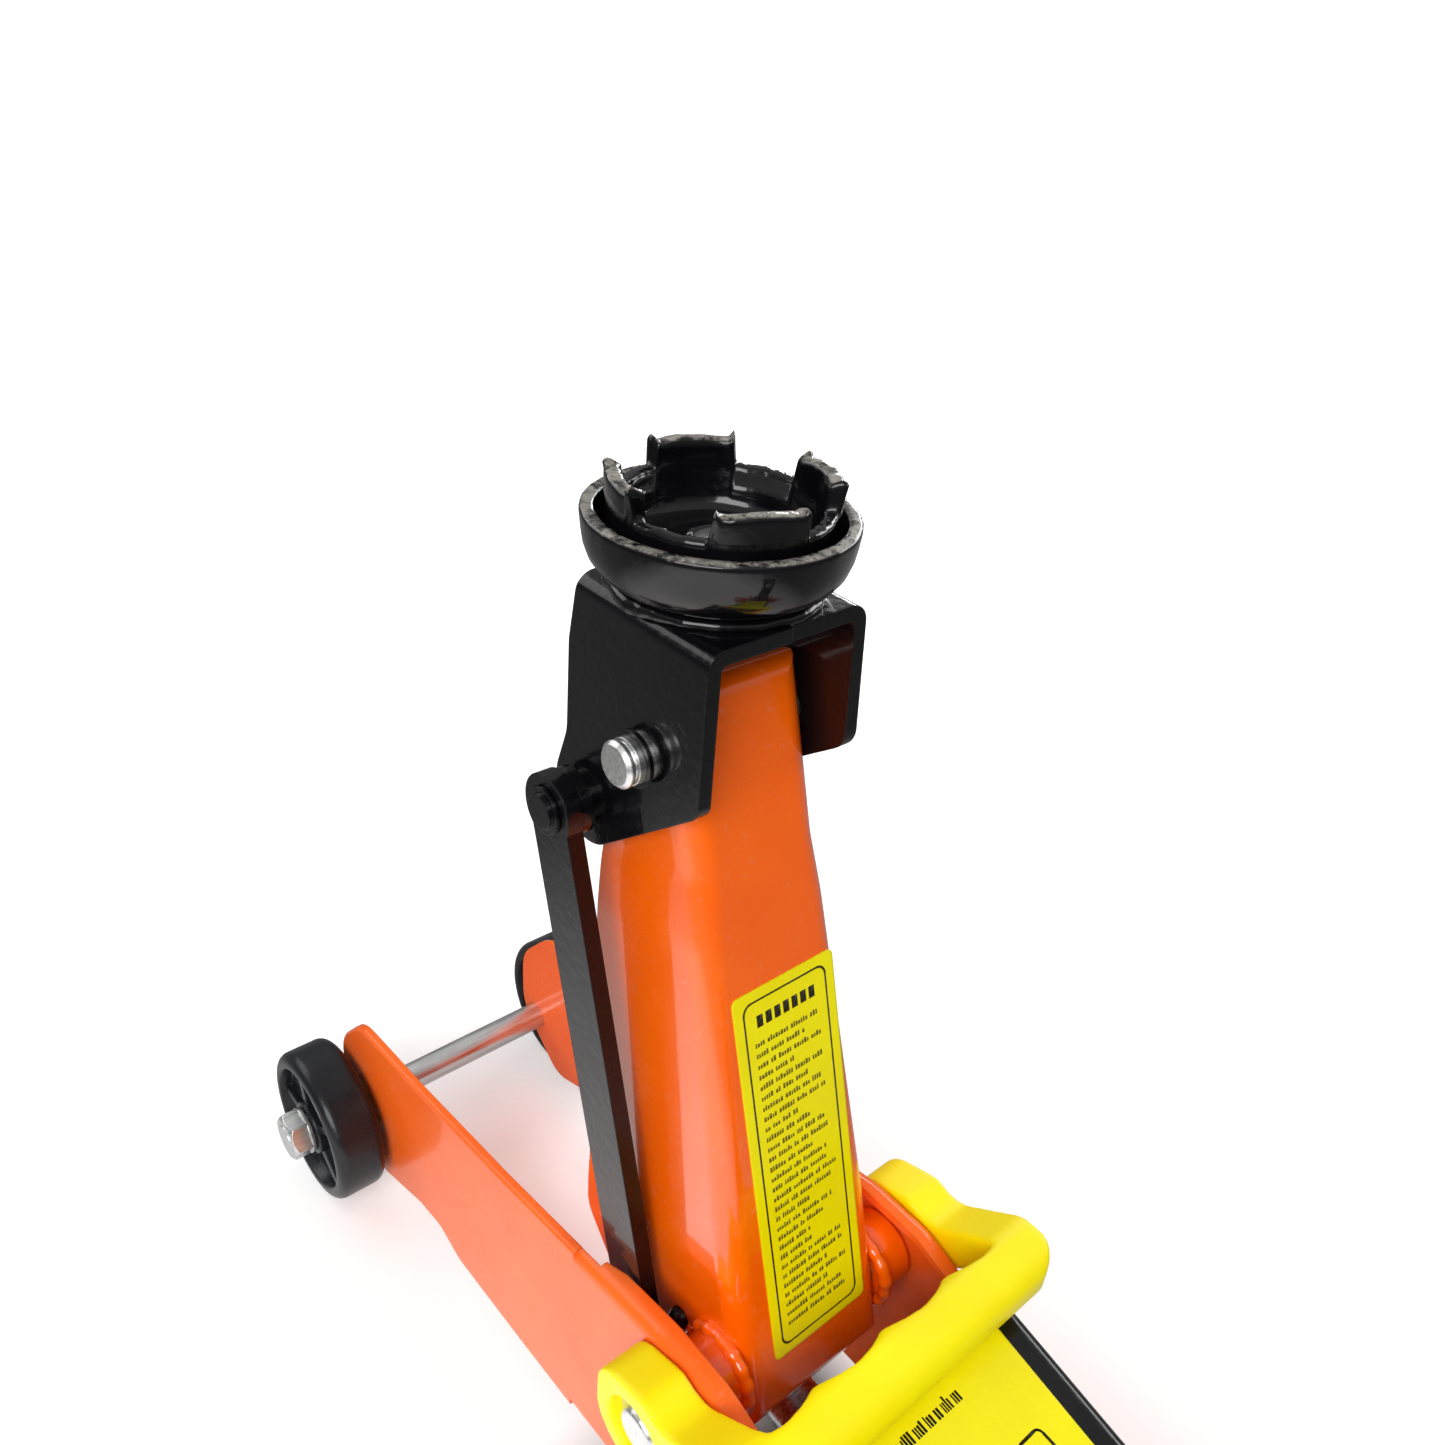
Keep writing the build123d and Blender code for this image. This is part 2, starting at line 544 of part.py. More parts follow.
def arm_parts():
    PARTS["lift_arm"] = at_arm(lift_arm())
    boss = ring_y(12.0, SHAFT_R + RUN, 0, (28.0, 39.8), 0)
    PARTS["arm_bosses"] = at_arm(both_sides(boss))
    PARTS["crank_pin"] = at_arm(rod_y(CRANK_PIN_R, CRANK_S, (-CRANK_PIN_HALF, CRANK_PIN_HALF), CRANK_N))
    brace = block((112, 116), (-40, 40), (-24, WEB_N - ARM_T)) & arm_hollow()
    PARTS["arm_brace"] = at_arm(brace.solid())
    label = [(0.5, -20.5, 2), (119, -20.5, 2), (119, 16.0, 2), (0.5, 16.0, 2)]
    PARTS["arm_label"] = at_arm(top_prism(label, WEB_N, WEB_N + LABEL_T))
    stud = to_left(27.9) * turned([(0, 0, 0), (3.4, 0, 0), (3.4, 1.6, 0), (2.4, 3.4, 1.2), (0, 3.8, 0)])
    PARTS["arm_stud"] = at_arm(Pos(7, 0, -17) * stud)


# ---------------------------------------------------------------- saddle
def bracket():
    """Folded saddle bracket: top plate and two cheeks, the left one with an ear for the link."""
    top, under, out, inner = BRACKET_TOP, BRACKET_TOP - BRACKET_T, BRACKET_OUT, BRACKET_IN
    section = [(-out, -45, 0), (-out, top, 5), (out, top, 5), (out, -45, 0), (inner, -45, 0),
               (inner, under, 1.5), (-inner, under, 1.5), (-inner, -45, 0)]
    left = [(-21.3, top, 0), (-21.9, -6, 5), (15, -36.4, 6), (24, -41, 13), (38.5, -29, 13),
            (31.8, -9, 14), (31.6, 18, 0), (28.4, top, 0)]
    right = [(-20.4, top, 0), (-23.4, -1, 7), (8, -25, 9), (24, -22, 8), (31, -8, 10), (31.6, 18, 0),
             (28.4, top, 0)]
    cheeks = side_prism(left, 0, 40) + side_prism(right, -40, 0)
    body = front_prism(section, -30, 45) & cheeks
    body -= rod_y(PIN_R, 0, (-40, 40), 0)
    body -= rod_y(LINK_PIN_R, LINK_DX, (0, 40), LINK_DZ)
    return body.solid()


def bowl():
    """Welded cup that carries the crown, standing on z = 0 of the bracket's top plate."""
    low, floor, inner = FOOT_T, FOOT_T + 4.6, BOWL_R - 3.3
    rows = [(RIVET_R, low, 0), (22, low, 3), (BOWL_R - 0.6, 5.5, 11), (BOWL_R, BOWL_H, 0.4),
            (inner, BOWL_H, 0.5), (inner - 0.5, floor, 6), (RIVET_R, floor, 0)]
    foot = turned([(RIVET_R, 0, 0), (FOOT_R, 0, 0), (FOOT_R, low, 0), (RIVET_R, low, 0)])
    return turned(rows) + foot


def crown():
    """Cast crown: floor with a raised centre, ring wall, and four tabs that grip a chassis."""
    floor, low, high = FOOT_T + 4.6 + GAP, BOWL_H + 2.2, BOWL_H + 10.6
    inner, bore = CROWN_R - CROWN_WALL, RIVET_R + 0.1
    body = turned([(bore, floor, 0), (CROWN_R - 2, floor, 1.5), (CROWN_R, floor + 5, 3),
                   (CROWN_R, low, 0.7), (inner, low, 0.7), (inner, floor + 3.6, 2.0),
                   (13.5, floor + 3.6, 0.8), (12.8, floor + 5.0, 0.8), (7.4, floor + 5.0, 0.5),
                   (7.0, floor + 3.4, 0.5), (bore, floor + 3.4, 0)])
    tab_ring = turned([(inner - 0.2, low - 6, 0), (CROWN_R, low - 6, 0), (CROWN_R + 0.9, high, 1.2),
                       (inner + 0.5, high, 1.2)])
    wedge = top_prism([(0, 0, 0), (50, -50 * TAB_SLOPE, 0), (50, 50 * TAB_SLOPE, 0)], 0, 60)
    for azimuth in range(0, 360, 90):
        body += tab_ring & (Rot(0, 0, azimuth + TAB_START) * wedge)
    return body.solid()


def saddle_pin():
    """Pin across the arm's tip, with two ring grooves at each end."""
    radius, length = PIN_R, 2 * PIN_HALF
    pin = to_left(-PIN_HALF) * turned(
        [(0, 0, 0), (radius - 1, 0, 0), (radius, 1, 0), (radius, length - 1, 0),
         (radius - 1, length, 0), (0, length, 0)])
    for y in PIN_GROOVES:
        pin -= both_sides(ring_y(8, radius - 1, 0, (y, y + RING_T), 0))
    return pin.solid()


def link_pin():
    """Pin from the bracket's left cheek, stepped so that the link runs clear of the cheek."""
    pin = rod_y(LINK_PIN_R, 0, (BRACKET_IN, 39.4), 0) + rod_y(7.6, 0, (BRACKET_OUT, 28), 0)
    pin += rod_y(9.4, 0, (28, LINK_Y[0] - GAP), 0)
    return pin + ring_y(6.8, LINK_PIN_R - 0.5, 0, (LINK_Y[1] + GAP, LINK_Y[1] + 1.4), 0)


def crown_rivet():
    """Rivet through bracket, bowl and crown, the crown's pivot."""
    under = -BRACKET_T
    return turned([(0, under - 3, 0), (6.5, under - 3, 1), (6.5, under, 0), (RIVET_R, under, 0),
                   (RIVET_R, 10.2, 0), (6.6, 10.4, 0), (6.2, 12.0, 0.8), (0, 12.6, 0)])


def saddle_parts():
    at_pin = Pos(PIN_X, 0, PIN_Z)
    at_bowl = Pos(PIN_X + SADDLE_DX, 0, PIN_Z + BRACKET_TOP)
    PARTS["saddle_bracket"] = at_pin * (bracket() - rod_z(RIVET_R, SADDLE_DX, 0, (20, 50)))
    PARTS["saddle_bowl"] = at_bowl * bowl()
    weld = [(FOOT_R, 0, 0), (24.6, 0, 0.8), (23.6, 1.5, 0.6), (FOOT_R, 1.59, 0)]
    PARTS["saddle_weld"] = at_bowl * turned(weld)
    PARTS["saddle_pin"] = at_pin * saddle_pin()
    groove = (PIN_GROOVES[0], PIN_GROOVES[0] + RING_T)
    PARTS["pin_rings"] = at_pin * both_sides(ring_y(7.5, PIN_R - 1, 0, groove, 0))
    PARTS["link_pin"] = Pos(PIN_X + LINK_DX, 0, PIN_Z + LINK_DZ) * link_pin()
    PARTS["saddle_crown"] = at_bowl * crown()
    PARTS["crown_rivet"] = at_bowl * crown_rivet()


# ---------------------------------------------------------------- link
def link_bar():
    """Flat bar with a wider round eye at each end, built level from its lower pivot."""
    bar = block((0, ARM_LENGTH), LINK_Y, (-LINK_HALF, LINK_HALF))
    for s in (0, ARM_LENGTH):
        bar += rod_y(LINK_EYE, s, LINK_Y, 0)
    bar -= rod_y(LINK_PIN_R + RUN, 0, (0, 60), 0)
    bar -= rod_y(LINK_PIN_R + GAP, ARM_LENGTH, (0, 60), 0)
    return Pos(LINK_DX, 0, PIVOT_Z + LINK_DZ) * Rot(0, -RAISED_ANGLE, 0) * bar


# ---------------------------------------------------------------- wheels
def front_wheel():
    """Left front wheel: rounded tread, recessed faces, hub and five ribs in the outer recess."""
    low, high = WHEEL_Y
    width = high - low
    body = turned([(AXLE_R + RUN, 0, 0), (11, 0, 0.8), (11, 4, 0), (24, 4, 1.5), (25.5, 0, 1.0),
                   (WHEEL_R, 0, 4.0), (WHEEL_R, width, 4.0), (25.5, width, 1.0), (24, width - 5, 1.5),
                   (11, width - 5, 0), (11, width - 0.5, 0.8), (AXLE_R + RUN, width - 0.5, 0)])
    rib = block((9, 25), (-1.6, 1.6), (width - 6, width - 2))
    for i in range(5):
        body += Rot(0, 0, i * 72) * rib & turned([(10, 0, 0), (25, 0, 0), (25, 30, 0), (10, 30, 0)])
    return Pos(AXLE_X, 0, WHEEL_R) * to_left(low) * body


def caster_bracket():
    """Left shelf on the side plate with a kingpin hole and two gussets."""
    low, high, sheet, out = CASTER_X - 24, CASTER_X + 24, 3.0, 97
    corners = [(high - 6, out, 16), (low + 6, out, 16)]
    body = top_prism([(low, REAR_OUT, 0), (high, REAR_OUT, 0), *corners], 56, 59.5)
    body += block((low, high), (REAR_OUT, REAR_OUT + PLATE_T), (56, 86))
    gusset = [(REAR_OUT, 57, 0), (80, 57, 0), (80, 62, 0), (REAR_OUT, 84, 0)]
    trim = top_prism([(low, 0, 0), (high, 0, 0), *corners], 0, 99)
    for x in (low, high - sheet):
        body += front_prism(gusset, x, x + sheet) & trim
    body -= rod_z(KINGPIN_R, CASTER_X, CASTER_Y, (50, 70))
    return body.solid()


def caster_kingpin():
    """Left kingpin with its lower race: riveted in the shelf, carrying the fork."""
    rows = [(0, 43.4, 0), (7.6, 43.4, 1.2), (7.6, 46.7, 0), (KINGPIN_R, 46.7, 0),
            (KINGPIN_R, 50.6, 0), (14, 50.6, 0.6), (14, 56, 1.5), (KINGPIN_R, 56, 0),
            (KINGPIN_R, 59.5, 0), (8.4, 59.5, 0), (7.0, 62.0, 1.0), (0, 62.6, 0)]
    return Pos(CASTER_X, CASTER_Y, 0) * turned(rows)


def caster_fork():
    """Left caster fork: round top plate and two cheeks that reach back to the wheel's axle."""
    x, z, cheek = -CASTER_TRAIL, CASTER_R, 2.5
    bore, low, top, span = KINGPIN_R + RUN, 47, 50.3, CASTER_HALF + 3.4
    body = turned([(bore, low, 0), (17, low, 0.5), (17, top, 0.8), (bore, top, 0)])
    side = [(x - 7, z - 7, 7), (x + 8, z - 7, 7), (14, 46, 4), (14, top, 0.5), (-14, top, 0.5),
            (-16, 46, 6)]
    for y in (CASTER_HALF + 1.0, -CASTER_HALF - 1.0 - cheek):
        body += side_prism(side, y, y + cheek)
    body += block((-14, 14), (-span, span), (low, top)) - rod_z(bore, 0, 0, (40, 60))
    body -= rod_y(CASTER_AXLE_R, x, (-20, 20), z)
    return Pos(CASTER_X, CASTER_Y, 0) * body.solid()


def caster_axle():
    """Left caster axle with a flat head at each end."""
    x, z, head = CASTER_X - CASTER_TRAIL, CASTER_R, 1.6
    low, high = CASTER_Y - CASTER_HALF - 3.5 - head, CASTER_Y + CASTER_HALF + 3.5
    pin = rod_y(CASTER_AXLE_R, x, (low, high), z)
    for y in (low, high):
        pin += rod_y(4.8, x, (y, y + head), z)
    return pin


def caster_wheel():
    """Left caster wheel with a recess in each face."""
    bore, width = CASTER_AXLE_R + RUN, 2 * CASTER_HALF
    body = turned([(bore, 0.6, 0), (7, 0.6, 0.6), (7, 3, 0), (14.5, 3, 1), (15.5, 0, 0.8),
                   (CASTER_R, 0, 3), (CASTER_R, width, 3), (15.5, width, 0.8),
                   (14.5, width - 3, 1), (7, width - 3, 0), (7, width - 0.6, 0.6),
                   (bore, width - 0.6, 0)])
    return Pos(CASTER_X - CASTER_TRAIL, 0, CASTER_R) * to_left(CASTER_Y - CASTER_HALF) * body


def wheels():
    PARTS["caster_kingpins"] = both_sides(caster_kingpin())
    makers = {"front_wheel": front_wheel, "caster_bracket": caster_bracket,
              "caster_fork": caster_fork, "caster_axle": caster_axle, "caster_wheel": caster_wheel}
    for name, make in makers.items():
        left = make()
        PARTS[name + "_left"] = left
        PARTS[name + "_right"] = mirror(left, Plane.XZ)


# ---------------------------------------------------------------- carry handle
def carry_handle():
    """Moulded bail: an eye each side, curved arms and a cross bar with finger scallops."""
    rear, front, low, high = *BAR_X, *BAR_Z
    inset = 0.7
    side = [(17, 79, 14), (17.5, 108, 12), (-3, 115, 8), (-12, 112, 10), (front - 3, high - inset, 8),
            (rear + inset, high - inset, 6), (rear + inset, low + inset, 6), (-34, low + inset, 16),
            (-18, 98, 16), (-15, 79, 12)]
    bar = [(rear, low, 7), (front, low, 7), (front, high, 7), (rear, high, 7)]
    body = side_prism(bar, -BAR_END, BAR_END)
    for sign in (-1, 1):
        body += side_prism(side, *mirrored_span(sign, *EYE_Y))
    body -= rod_y(HANDLE_BOLT_R + RUN, 0, (-70, 70), PIVOT_Z)
    for sign in (-1, 1):
        body -= rod_y(EYE_RECESS_R, 0, mirrored_span(sign, PLATE_OUT + 9.5, 80), PIVOT_Z)
    tall = (90, 140)
    grip = block((rear - 10, front + 11), (-SCALLOP_SPAN, SCALLOP_SPAN), tall)
    for step in (-1.5, -0.5, 0.5, 1.5):
        valley_x = front + SCALLOP_R - SCALLOP_DEPTH
        body -= rod_z(SCALLOP_R, valley_x, step * SCALLOP_PITCH, tall) & grip
    plan = [(rear, -BAR_END, BAR_CORNER), (rear, BAR_END, BAR_CORNER), (-30, EYE_Y[1], 20),
            (30, EYE_Y[1], 0), (30, -EYE_Y[1], 0), (-30, -EYE_Y[1], 20)]
    body &= top_prism(plan, 0, 140)
    return body.solid()


# ---------------------------------------------------------------- handle socket and pump
def at_socket(solid):
    """Moves a solid from the socket's level frame, rearward along -x, to its rest angle."""
    return Pos(SOCKET_X, 0, SOCKET_Z) * Rot(0, HANDLE_REST, 0) * solid


def handle_socket():
    """Cast socket: a tube for the pump handle on two cheeks that straddle the plunger."""
    mouth, inner_end = SOCKET_TUBE
    screw_x = mouth + SCREW_AT
    body = rod_x(SOCKET_R, SOCKET_TUBE, 0, SOCKET_V)
    cheek = [(11, -6, 9), (-3, -12, 8), (-14, -19, 8), (-24, -9, 8), (-44, 14, 12), (-44, SOCKET_V, 0),
             (-4, SOCKET_V, 0), (10, 14, 8)]
    for side in (-1, 1):
        body += side_prism(cheek, *mirrored_span(side, *CHEEK_Y))
    body += rod_x(SOCKET_R + 1.6, (mouth, mouth + 9), 0, SOCKET_V)
    body += rod_z(SCREW_R + 3, screw_x, 0, (SOCKET_V + 12, SOCKET_V + 20))
    body -= rod_x(SOCKET_BORE, (mouth - 1, inner_end + 20), 0, SOCKET_V)
    body -= rod_y(SOCKET_PIN_R + RUN, 0, (-30, 30), 0)
    body -= rod_y(ROLLER_PIN_R, ROLLER_AT[0], (-30, 30), ROLLER_AT[1])
    body -= rod_z(SCREW_R, screw_x, 0, (SOCKET_V + 5, SOCKET_V + 40))
    return body.solid()


def thumb_screw():
    """Knurled-head screw that holds the pump handle in the socket."""
    rows = [(0, 14.0, 0), (SCREW_R, 14.0, 0), (SCREW_R, 20.6, 0), (8.2, 20.6, 0.8), (8.2, 25, 1.2),
            (0, 26, 0)]
    return Pos(SOCKET_TUBE[0] + SCREW_AT, 0, SOCKET_V) * turned(rows)


def socket_roller():
    """Roller between the socket's cheeks, with its pin."""
    x, z = ROLLER_AT
    half = CHEEK_Y[0] - GAP
    return rod_y(ROLLER_R, x, (-half, half), z) + rod_y(ROLLER_PIN_R, x, (-CHEEK_Y[1], CHEEK_Y[1]), z)


def pump_plunger():
    """Pump plunger with the head that the roller presses on."""
    top = PLUNGER_TOP
    rows = [(0, 52, 0), (PLUNGER_R, 52, 0), (PLUNGER_R, top - HEAD_T, 0), (8.4, top - HEAD_T, 0.4),
            (8.4, top - 1, 0), (7.4, top, 0), (0, top, 0)]
    return Pos(PLUNGER_X, 0, 0) * turned(rows)


def plunger_spring():
    """Return spring's envelope, between the pump gland and the plunger's head."""
    low, high = BLOCK_Z[1] + GLAND_T, PLUNGER_TOP - HEAD_T
    spring = rod_z(7.2, PLUNGER_X, 0, (low, high)) - rod_z(5.8, PLUNGER_X, 0, (low - 1, high + 1))
    return spring.solid()


def pump_parts():
    PARTS["handle_socket"] = at_socket(handle_socket())
    PARTS["socket_roller"] = at_socket(socket_roller())
    PARTS["socket_screw"] = at_socket(thumb_screw())
    PARTS["pump_plunger"] = pump_plunger()
    PARTS["plunger_spring"] = plunger_spring()
    PARTS["release_valve"] = release_valve()


def release_valve():
    """Release screw at the block's rear with a slotted T end for the pump handle."""
    end, y, z, rear = RELEASE_END, RELEASE_Y, RELEASE_Z, BLOCK_X[0]
    body = rod_x(RELEASE_R, (end + 4, RELEASE_BORE_END - 1), y, z)
    body += rod_x(RELEASE_R + 3, (rear - GAP - 4, rear - GAP), y, z)
    body += rod_x(RELEASE_R + 1, (end, end + 6), y, z)
    body += block((end + 1.5, end + 4.5), (y - 11, y + 11), (z - 1.5, z + 1.5))
    return body.solid()


# ---------------------------------------------------------------- export
def export_all():
    os.makedirs("parts", exist_ok=True)
    for name, shape in PARTS.items():
        export_step(Pos(-ORIGIN_X, 0, 0) * shape, f"parts/{name}.step")
        print(name, len(shape.solids()), round(sum(solid.volume for solid in shape.solids())))


chassis()
cover_parts()
power_unit()
ram_parts()
arm_parts()
saddle_parts()
PARTS["link_bar"] = link_bar()
wheels()
PARTS["carry_handle"] = carry_handle()
pump_parts()
export_all()
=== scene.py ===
import json
from math import cos, exp, pi, radians, sin
from random import Random

import bmesh
import bpy
from mathutils import Matrix, Vector, noise

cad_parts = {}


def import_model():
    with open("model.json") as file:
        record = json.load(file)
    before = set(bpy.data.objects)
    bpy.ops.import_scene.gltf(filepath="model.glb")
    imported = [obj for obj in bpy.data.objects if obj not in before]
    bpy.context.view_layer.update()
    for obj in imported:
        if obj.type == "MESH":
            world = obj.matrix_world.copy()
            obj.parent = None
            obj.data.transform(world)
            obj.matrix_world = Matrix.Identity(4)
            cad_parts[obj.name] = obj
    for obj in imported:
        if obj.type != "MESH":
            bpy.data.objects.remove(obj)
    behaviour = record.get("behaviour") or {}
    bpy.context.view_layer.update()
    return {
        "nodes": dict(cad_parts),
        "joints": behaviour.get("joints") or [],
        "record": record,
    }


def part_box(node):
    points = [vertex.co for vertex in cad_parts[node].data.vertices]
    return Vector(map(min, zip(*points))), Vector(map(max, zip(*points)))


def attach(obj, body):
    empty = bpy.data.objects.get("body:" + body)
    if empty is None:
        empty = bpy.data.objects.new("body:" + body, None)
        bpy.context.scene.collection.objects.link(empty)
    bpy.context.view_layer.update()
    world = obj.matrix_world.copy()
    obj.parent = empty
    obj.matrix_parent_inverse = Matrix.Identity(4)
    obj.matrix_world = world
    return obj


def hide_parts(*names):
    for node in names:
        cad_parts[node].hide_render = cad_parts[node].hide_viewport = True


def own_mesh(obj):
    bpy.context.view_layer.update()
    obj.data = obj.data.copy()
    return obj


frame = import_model()
NODES = frame["nodes"]
JOINTS = {joint["name"]: joint for joint in frame["joints"]}
MM = 0.001

# ---------------------------------------------------------------- sizes
# Saddle: millimetres, heights above the bowl's foot.
CROWN_LOW, CROWN_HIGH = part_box("saddle_crown")
BOWL_LOW, BOWL_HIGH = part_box("saddle_bowl")
SADDLE_AXIS = Vector(((BOWL_LOW.x + BOWL_HIGH.x) / 2, 0, BOWL_LOW.z))
BOWL_RADIUS = (BOWL_HIGH.x - BOWL_LOW.x) / 2 / MM
BOWL_TOP = (BOWL_HIGH.z - BOWL_LOW.z) / MM
BOWL_BORE, BOWL_FOOT, BOWL_FLOOR = 4.1, 21.0, 6.2
CROWN_TOP = (CROWN_HIGH.z - BOWL_LOW.z) / MM
CROWN_FLOOR = (CROWN_LOW.z - BOWL_LOW.z) / MM
CROWN_RADIUS, CROWN_WALL, CROWN_BORE = 27.6, 4.0, 4.2
CROWN_RIM = CROWN_TOP - 8.4           # top of the crown's wall between its tabs
TAB_FIRST, TAB_HALF = 68.0, 24.7      # degrees: middle of the first tab, half a tab
NUB_SIZE = 1.7                        # casting nubs at the corners of each tab
BRACKET_HALF, BRACKET_BEND = 25.3, 5.0
WELD_RADIUS, WELD_SIZE, WELD_TOP = 24.3, 2.3, 1.9

# Arm and labels, in millimetres.
ARM_WALL = 28.0                       # outer face of the arm's wall beside the bosses
WEB_FACE = 11.1                       # label face above the line of pivots
LABEL_BOX = (0.5, 119.0, -20.5, 16.0)      # along the arm, then across it
LABEL_MARGIN, LABEL_CORNER = 3.4, 3.0
COVER_TILT = radians(4.86)
INK_DEPTH = 0.05

# Springs, in metres.
RETURN_WIRE, RETURN_HOOK, RETURN_TURNS = 0.0009, 0.008, 34
PLUNGER_WIRE, PLUNGER_TURNS = 0.0011, 6
HANDLE_VOXEL, HANDLE_ROUNDS = 0.0008, 7

# Floor and sky, in metres.
# A pool of light painted on the floor: there the floor glows and is paler for the object's rays only, and
# the gloss paint reflects it.
POOL_CENTRE = (-0.15, 0.25)
POOL_EDGE = (0.25, 0.50)
POOL_GLOW = 0.75
# A shadow painted on the floor under the rear of the jack, dark to the camera and to the object's rays.
UNDER_Y = (0.036, 0.060)              # half width of the painted shadow on the floor under the jack, then of the clear floor
UNDER_X, UNDER_MIDDLE = (0.08, 0.13), -0.09
UNDER_SHADE = 0.04
SKY_RAMP = (0.0, 0.8, 0.10, 0.55)     # height low and high, then brightness low and high


# ---------------------------------------------------------------- material graphs
class Shade:
    """One material and the nodes that feed its Principled shader."""

    def __init__(self, name, metallic=0.0, **constants):
        self.material = bpy.data.materials.new(name)
        self.material.use_nodes = True
        self.tree = self.material.node_tree
        self.tree.nodes.clear()
        self.shader = self.tree.nodes.new("ShaderNodeBsdfPrincipled")
        output = self.tree.nodes.new("ShaderNodeOutputMaterial")
        self.tree.links.new(self.shader.outputs[0], output.inputs[0])
        self.shader.inputs["Metallic"].default_value = metallic
        for key, value in constants.items():
            self.shader.inputs[key.replace("_", " ")].default_value = value

    def put(self, socket, value):
        """Links a socket to a value that is a socket, or sets it to a constant."""
        if isinstance(value, bpy.types.NodeSocket):
            self.tree.links.new(value, socket)
        else:
            socket.default_value = value

    def node(self, kind, inputs, output=0, **settings):
        made = self.tree.nodes.new(kind)
        for key, value in settings.items():
            setattr(made, key, value)
        for key, value in inputs.items():
            self.put(made.inputs[key], value)
        return made.outputs[output]

    def place(self):
        """The point in the row frame, in metres."""
        return self.node("ShaderNodeTexCoord", {}, "Object")

    def facing(self):
        return self.node("ShaderNodeNewGeometry", {}, "Normal")

    def axis(self, vector, name):
        return self.node("ShaderNodeSeparateXYZ", {0: vector}, name)

    def math(self, operation, a, b=0.0):
        return self.node("ShaderNodeMath", {0: a, 1: b}, operation=operation)

    def vector_math(self, operation, a, b):
        return self.node("ShaderNodeVectorMath", {0: a, 1: b}, "Value", operation=operation)

    def noise(self, scale, detail=4.0, roughness=0.5, vector=None):
        inputs = {"Vector": vector or self.place(), "Scale": scale, "Detail": detail,
                  "Roughness": roughness}
        return self.node("ShaderNodeTexNoise", inputs)

    def stretched(self, sx, sy, sz):
        """The place with its axes scaled, for streaks."""
        return self.node("ShaderNodeMapping", {"Vector": self.place(), "Scale": (sx, sy, sz)})

    def between(self, value, low, high, to_low=0.0, to_high=1.0):
        return self.node("ShaderNodeMapRange", {0: value, 1: low, 2: high, 3: to_low, 4: to_high})

    def mix(self, share, a, b):
        return self.node("ShaderNodeMix", {0: share, 6: a, 7: b}, 2, data_type="RGBA")

    def round_edges(self, radius, samples=6):
        return self.node("ShaderNodeBevel", {"Radius": radius}, samples=samples)

    def edges(self, radius):
        """1 on sharp edges, falling to 0 a radius away."""
        dot = self.vector_math("DOT_PRODUCT", self.round_edges(radius), self.facing())
        return self.between(dot, 0.995, 0.86)

    def bump(self, height, distance, normal):
        return self.node("ShaderNodeBump", {"Height": height, "Distance": distance, "Normal": normal})

    def finish(self, colour, roughness, normal=None):
        self.put(self.shader.inputs["Base Color"], colour)
        self.put(self.shader.inputs["Roughness"], roughness)
        if normal is not None:
            self.put(self.shader.inputs["Normal"], normal)
        return self.material


def rgb(red, green, blue):
    """Linear colour from values of 0 to 255 as seen on screen."""
    def linear(value):
        share = value / 255
        return share / 12.92 if share <= 0.04045 else ((share + 0.055) / 1.055) ** 2.4
    return (linear(red), linear(green), linear(blue), 1.0)


DUST = rgb(214, 205, 196)
PRIMER = rgb(120, 112, 104)


def gloss_paint(name, main, shade, wear=0.35, peel=0.00006, dirt=0.10, coat=1.0, sheen=0.4):
    """Thick gloss paint with an orange peel, faint dirt and small chips on its edges."""
    s = Shade(name, Coat_Weight=coat, Coat_Roughness=0.04, Specular_IOR_Level=sheen)
    edge = 0.0009
    colour = s.mix(s.between(s.noise(24, 3), 0.35, 0.7), main, shade)
    dust = s.between(s.noise(310, 5, 0.65), 0.60, 0.74, 0.0, dirt)
    colour = s.mix(dust, colour, DUST)
    chips = s.math("MULTIPLY", s.edges(edge), s.between(s.noise(260, 4, 0.7), 0.52, 0.60))
    colour = s.mix(s.math("MULTIPLY", chips, wear), colour, PRIMER)
    rough = s.between(s.noise(60, 4, 0.6), 0.3, 0.7, 0.16, 0.30)
    normal = s.bump(s.noise(420, 2, 0.4), peel, s.round_edges(edge))
    return s.finish(colour, rough, normal)


def cast_paint(name, worn_and_sheen_from=None):
    """Black paint over rough castings; above the given height, faces that look up show lighter metal in
    patches: rubbed metal, and on the bowl's rim also a painted highlight.
    """
    s = Shade(name, Coat_Weight=0.6, Coat_Roughness=0.04, Specular_IOR_Level=0.15)
    colour = s.mix(s.between(s.noise(90, 4), 0.35, 0.7), rgb(6, 6, 8), rgb(13, 12, 15))
    rough = s.between(s.noise(130, 4, 0.6), 0.3, 0.7, 0.10, 0.24)
    lumps = s.math("ADD", s.noise(150, 3, 0.5), s.math("MULTIPLY", s.noise(620, 2, 0.5), 0.25))
    normal = s.bump(lumps, 0.00028, s.round_edges(0.0008))
    if worn_and_sheen_from is None:
        return s.finish(colour, rough, normal)
    # Lighter patches on high upward faces: rubbed metal, and on the bowl's rim partly a painted
    # highlight.
    height = s.between(s.axis(s.place(), "Z"), worn_and_sheen_from, worn_and_sheen_from + 0.0008)
    upward = s.between(s.axis(s.facing(), "Z"), 0.55, 0.9)
    patches = s.between(s.noise(240, 4, 0.7), 0.40, 0.56)
    rubbed_and_sheen = s.math("MULTIPLY", s.math("MULTIPLY", height, upward), patches)
    bare_and_sheen = s.mix(s.noise(700, 3), rgb(108, 104, 98), rgb(172, 166, 156))
    rough = s.math("ADD", rough, s.math("MULTIPLY", rubbed_and_sheen, 0.25))
    return s.finish(s.mix(rubbed_and_sheen, colour, bare_and_sheen), rough, normal)


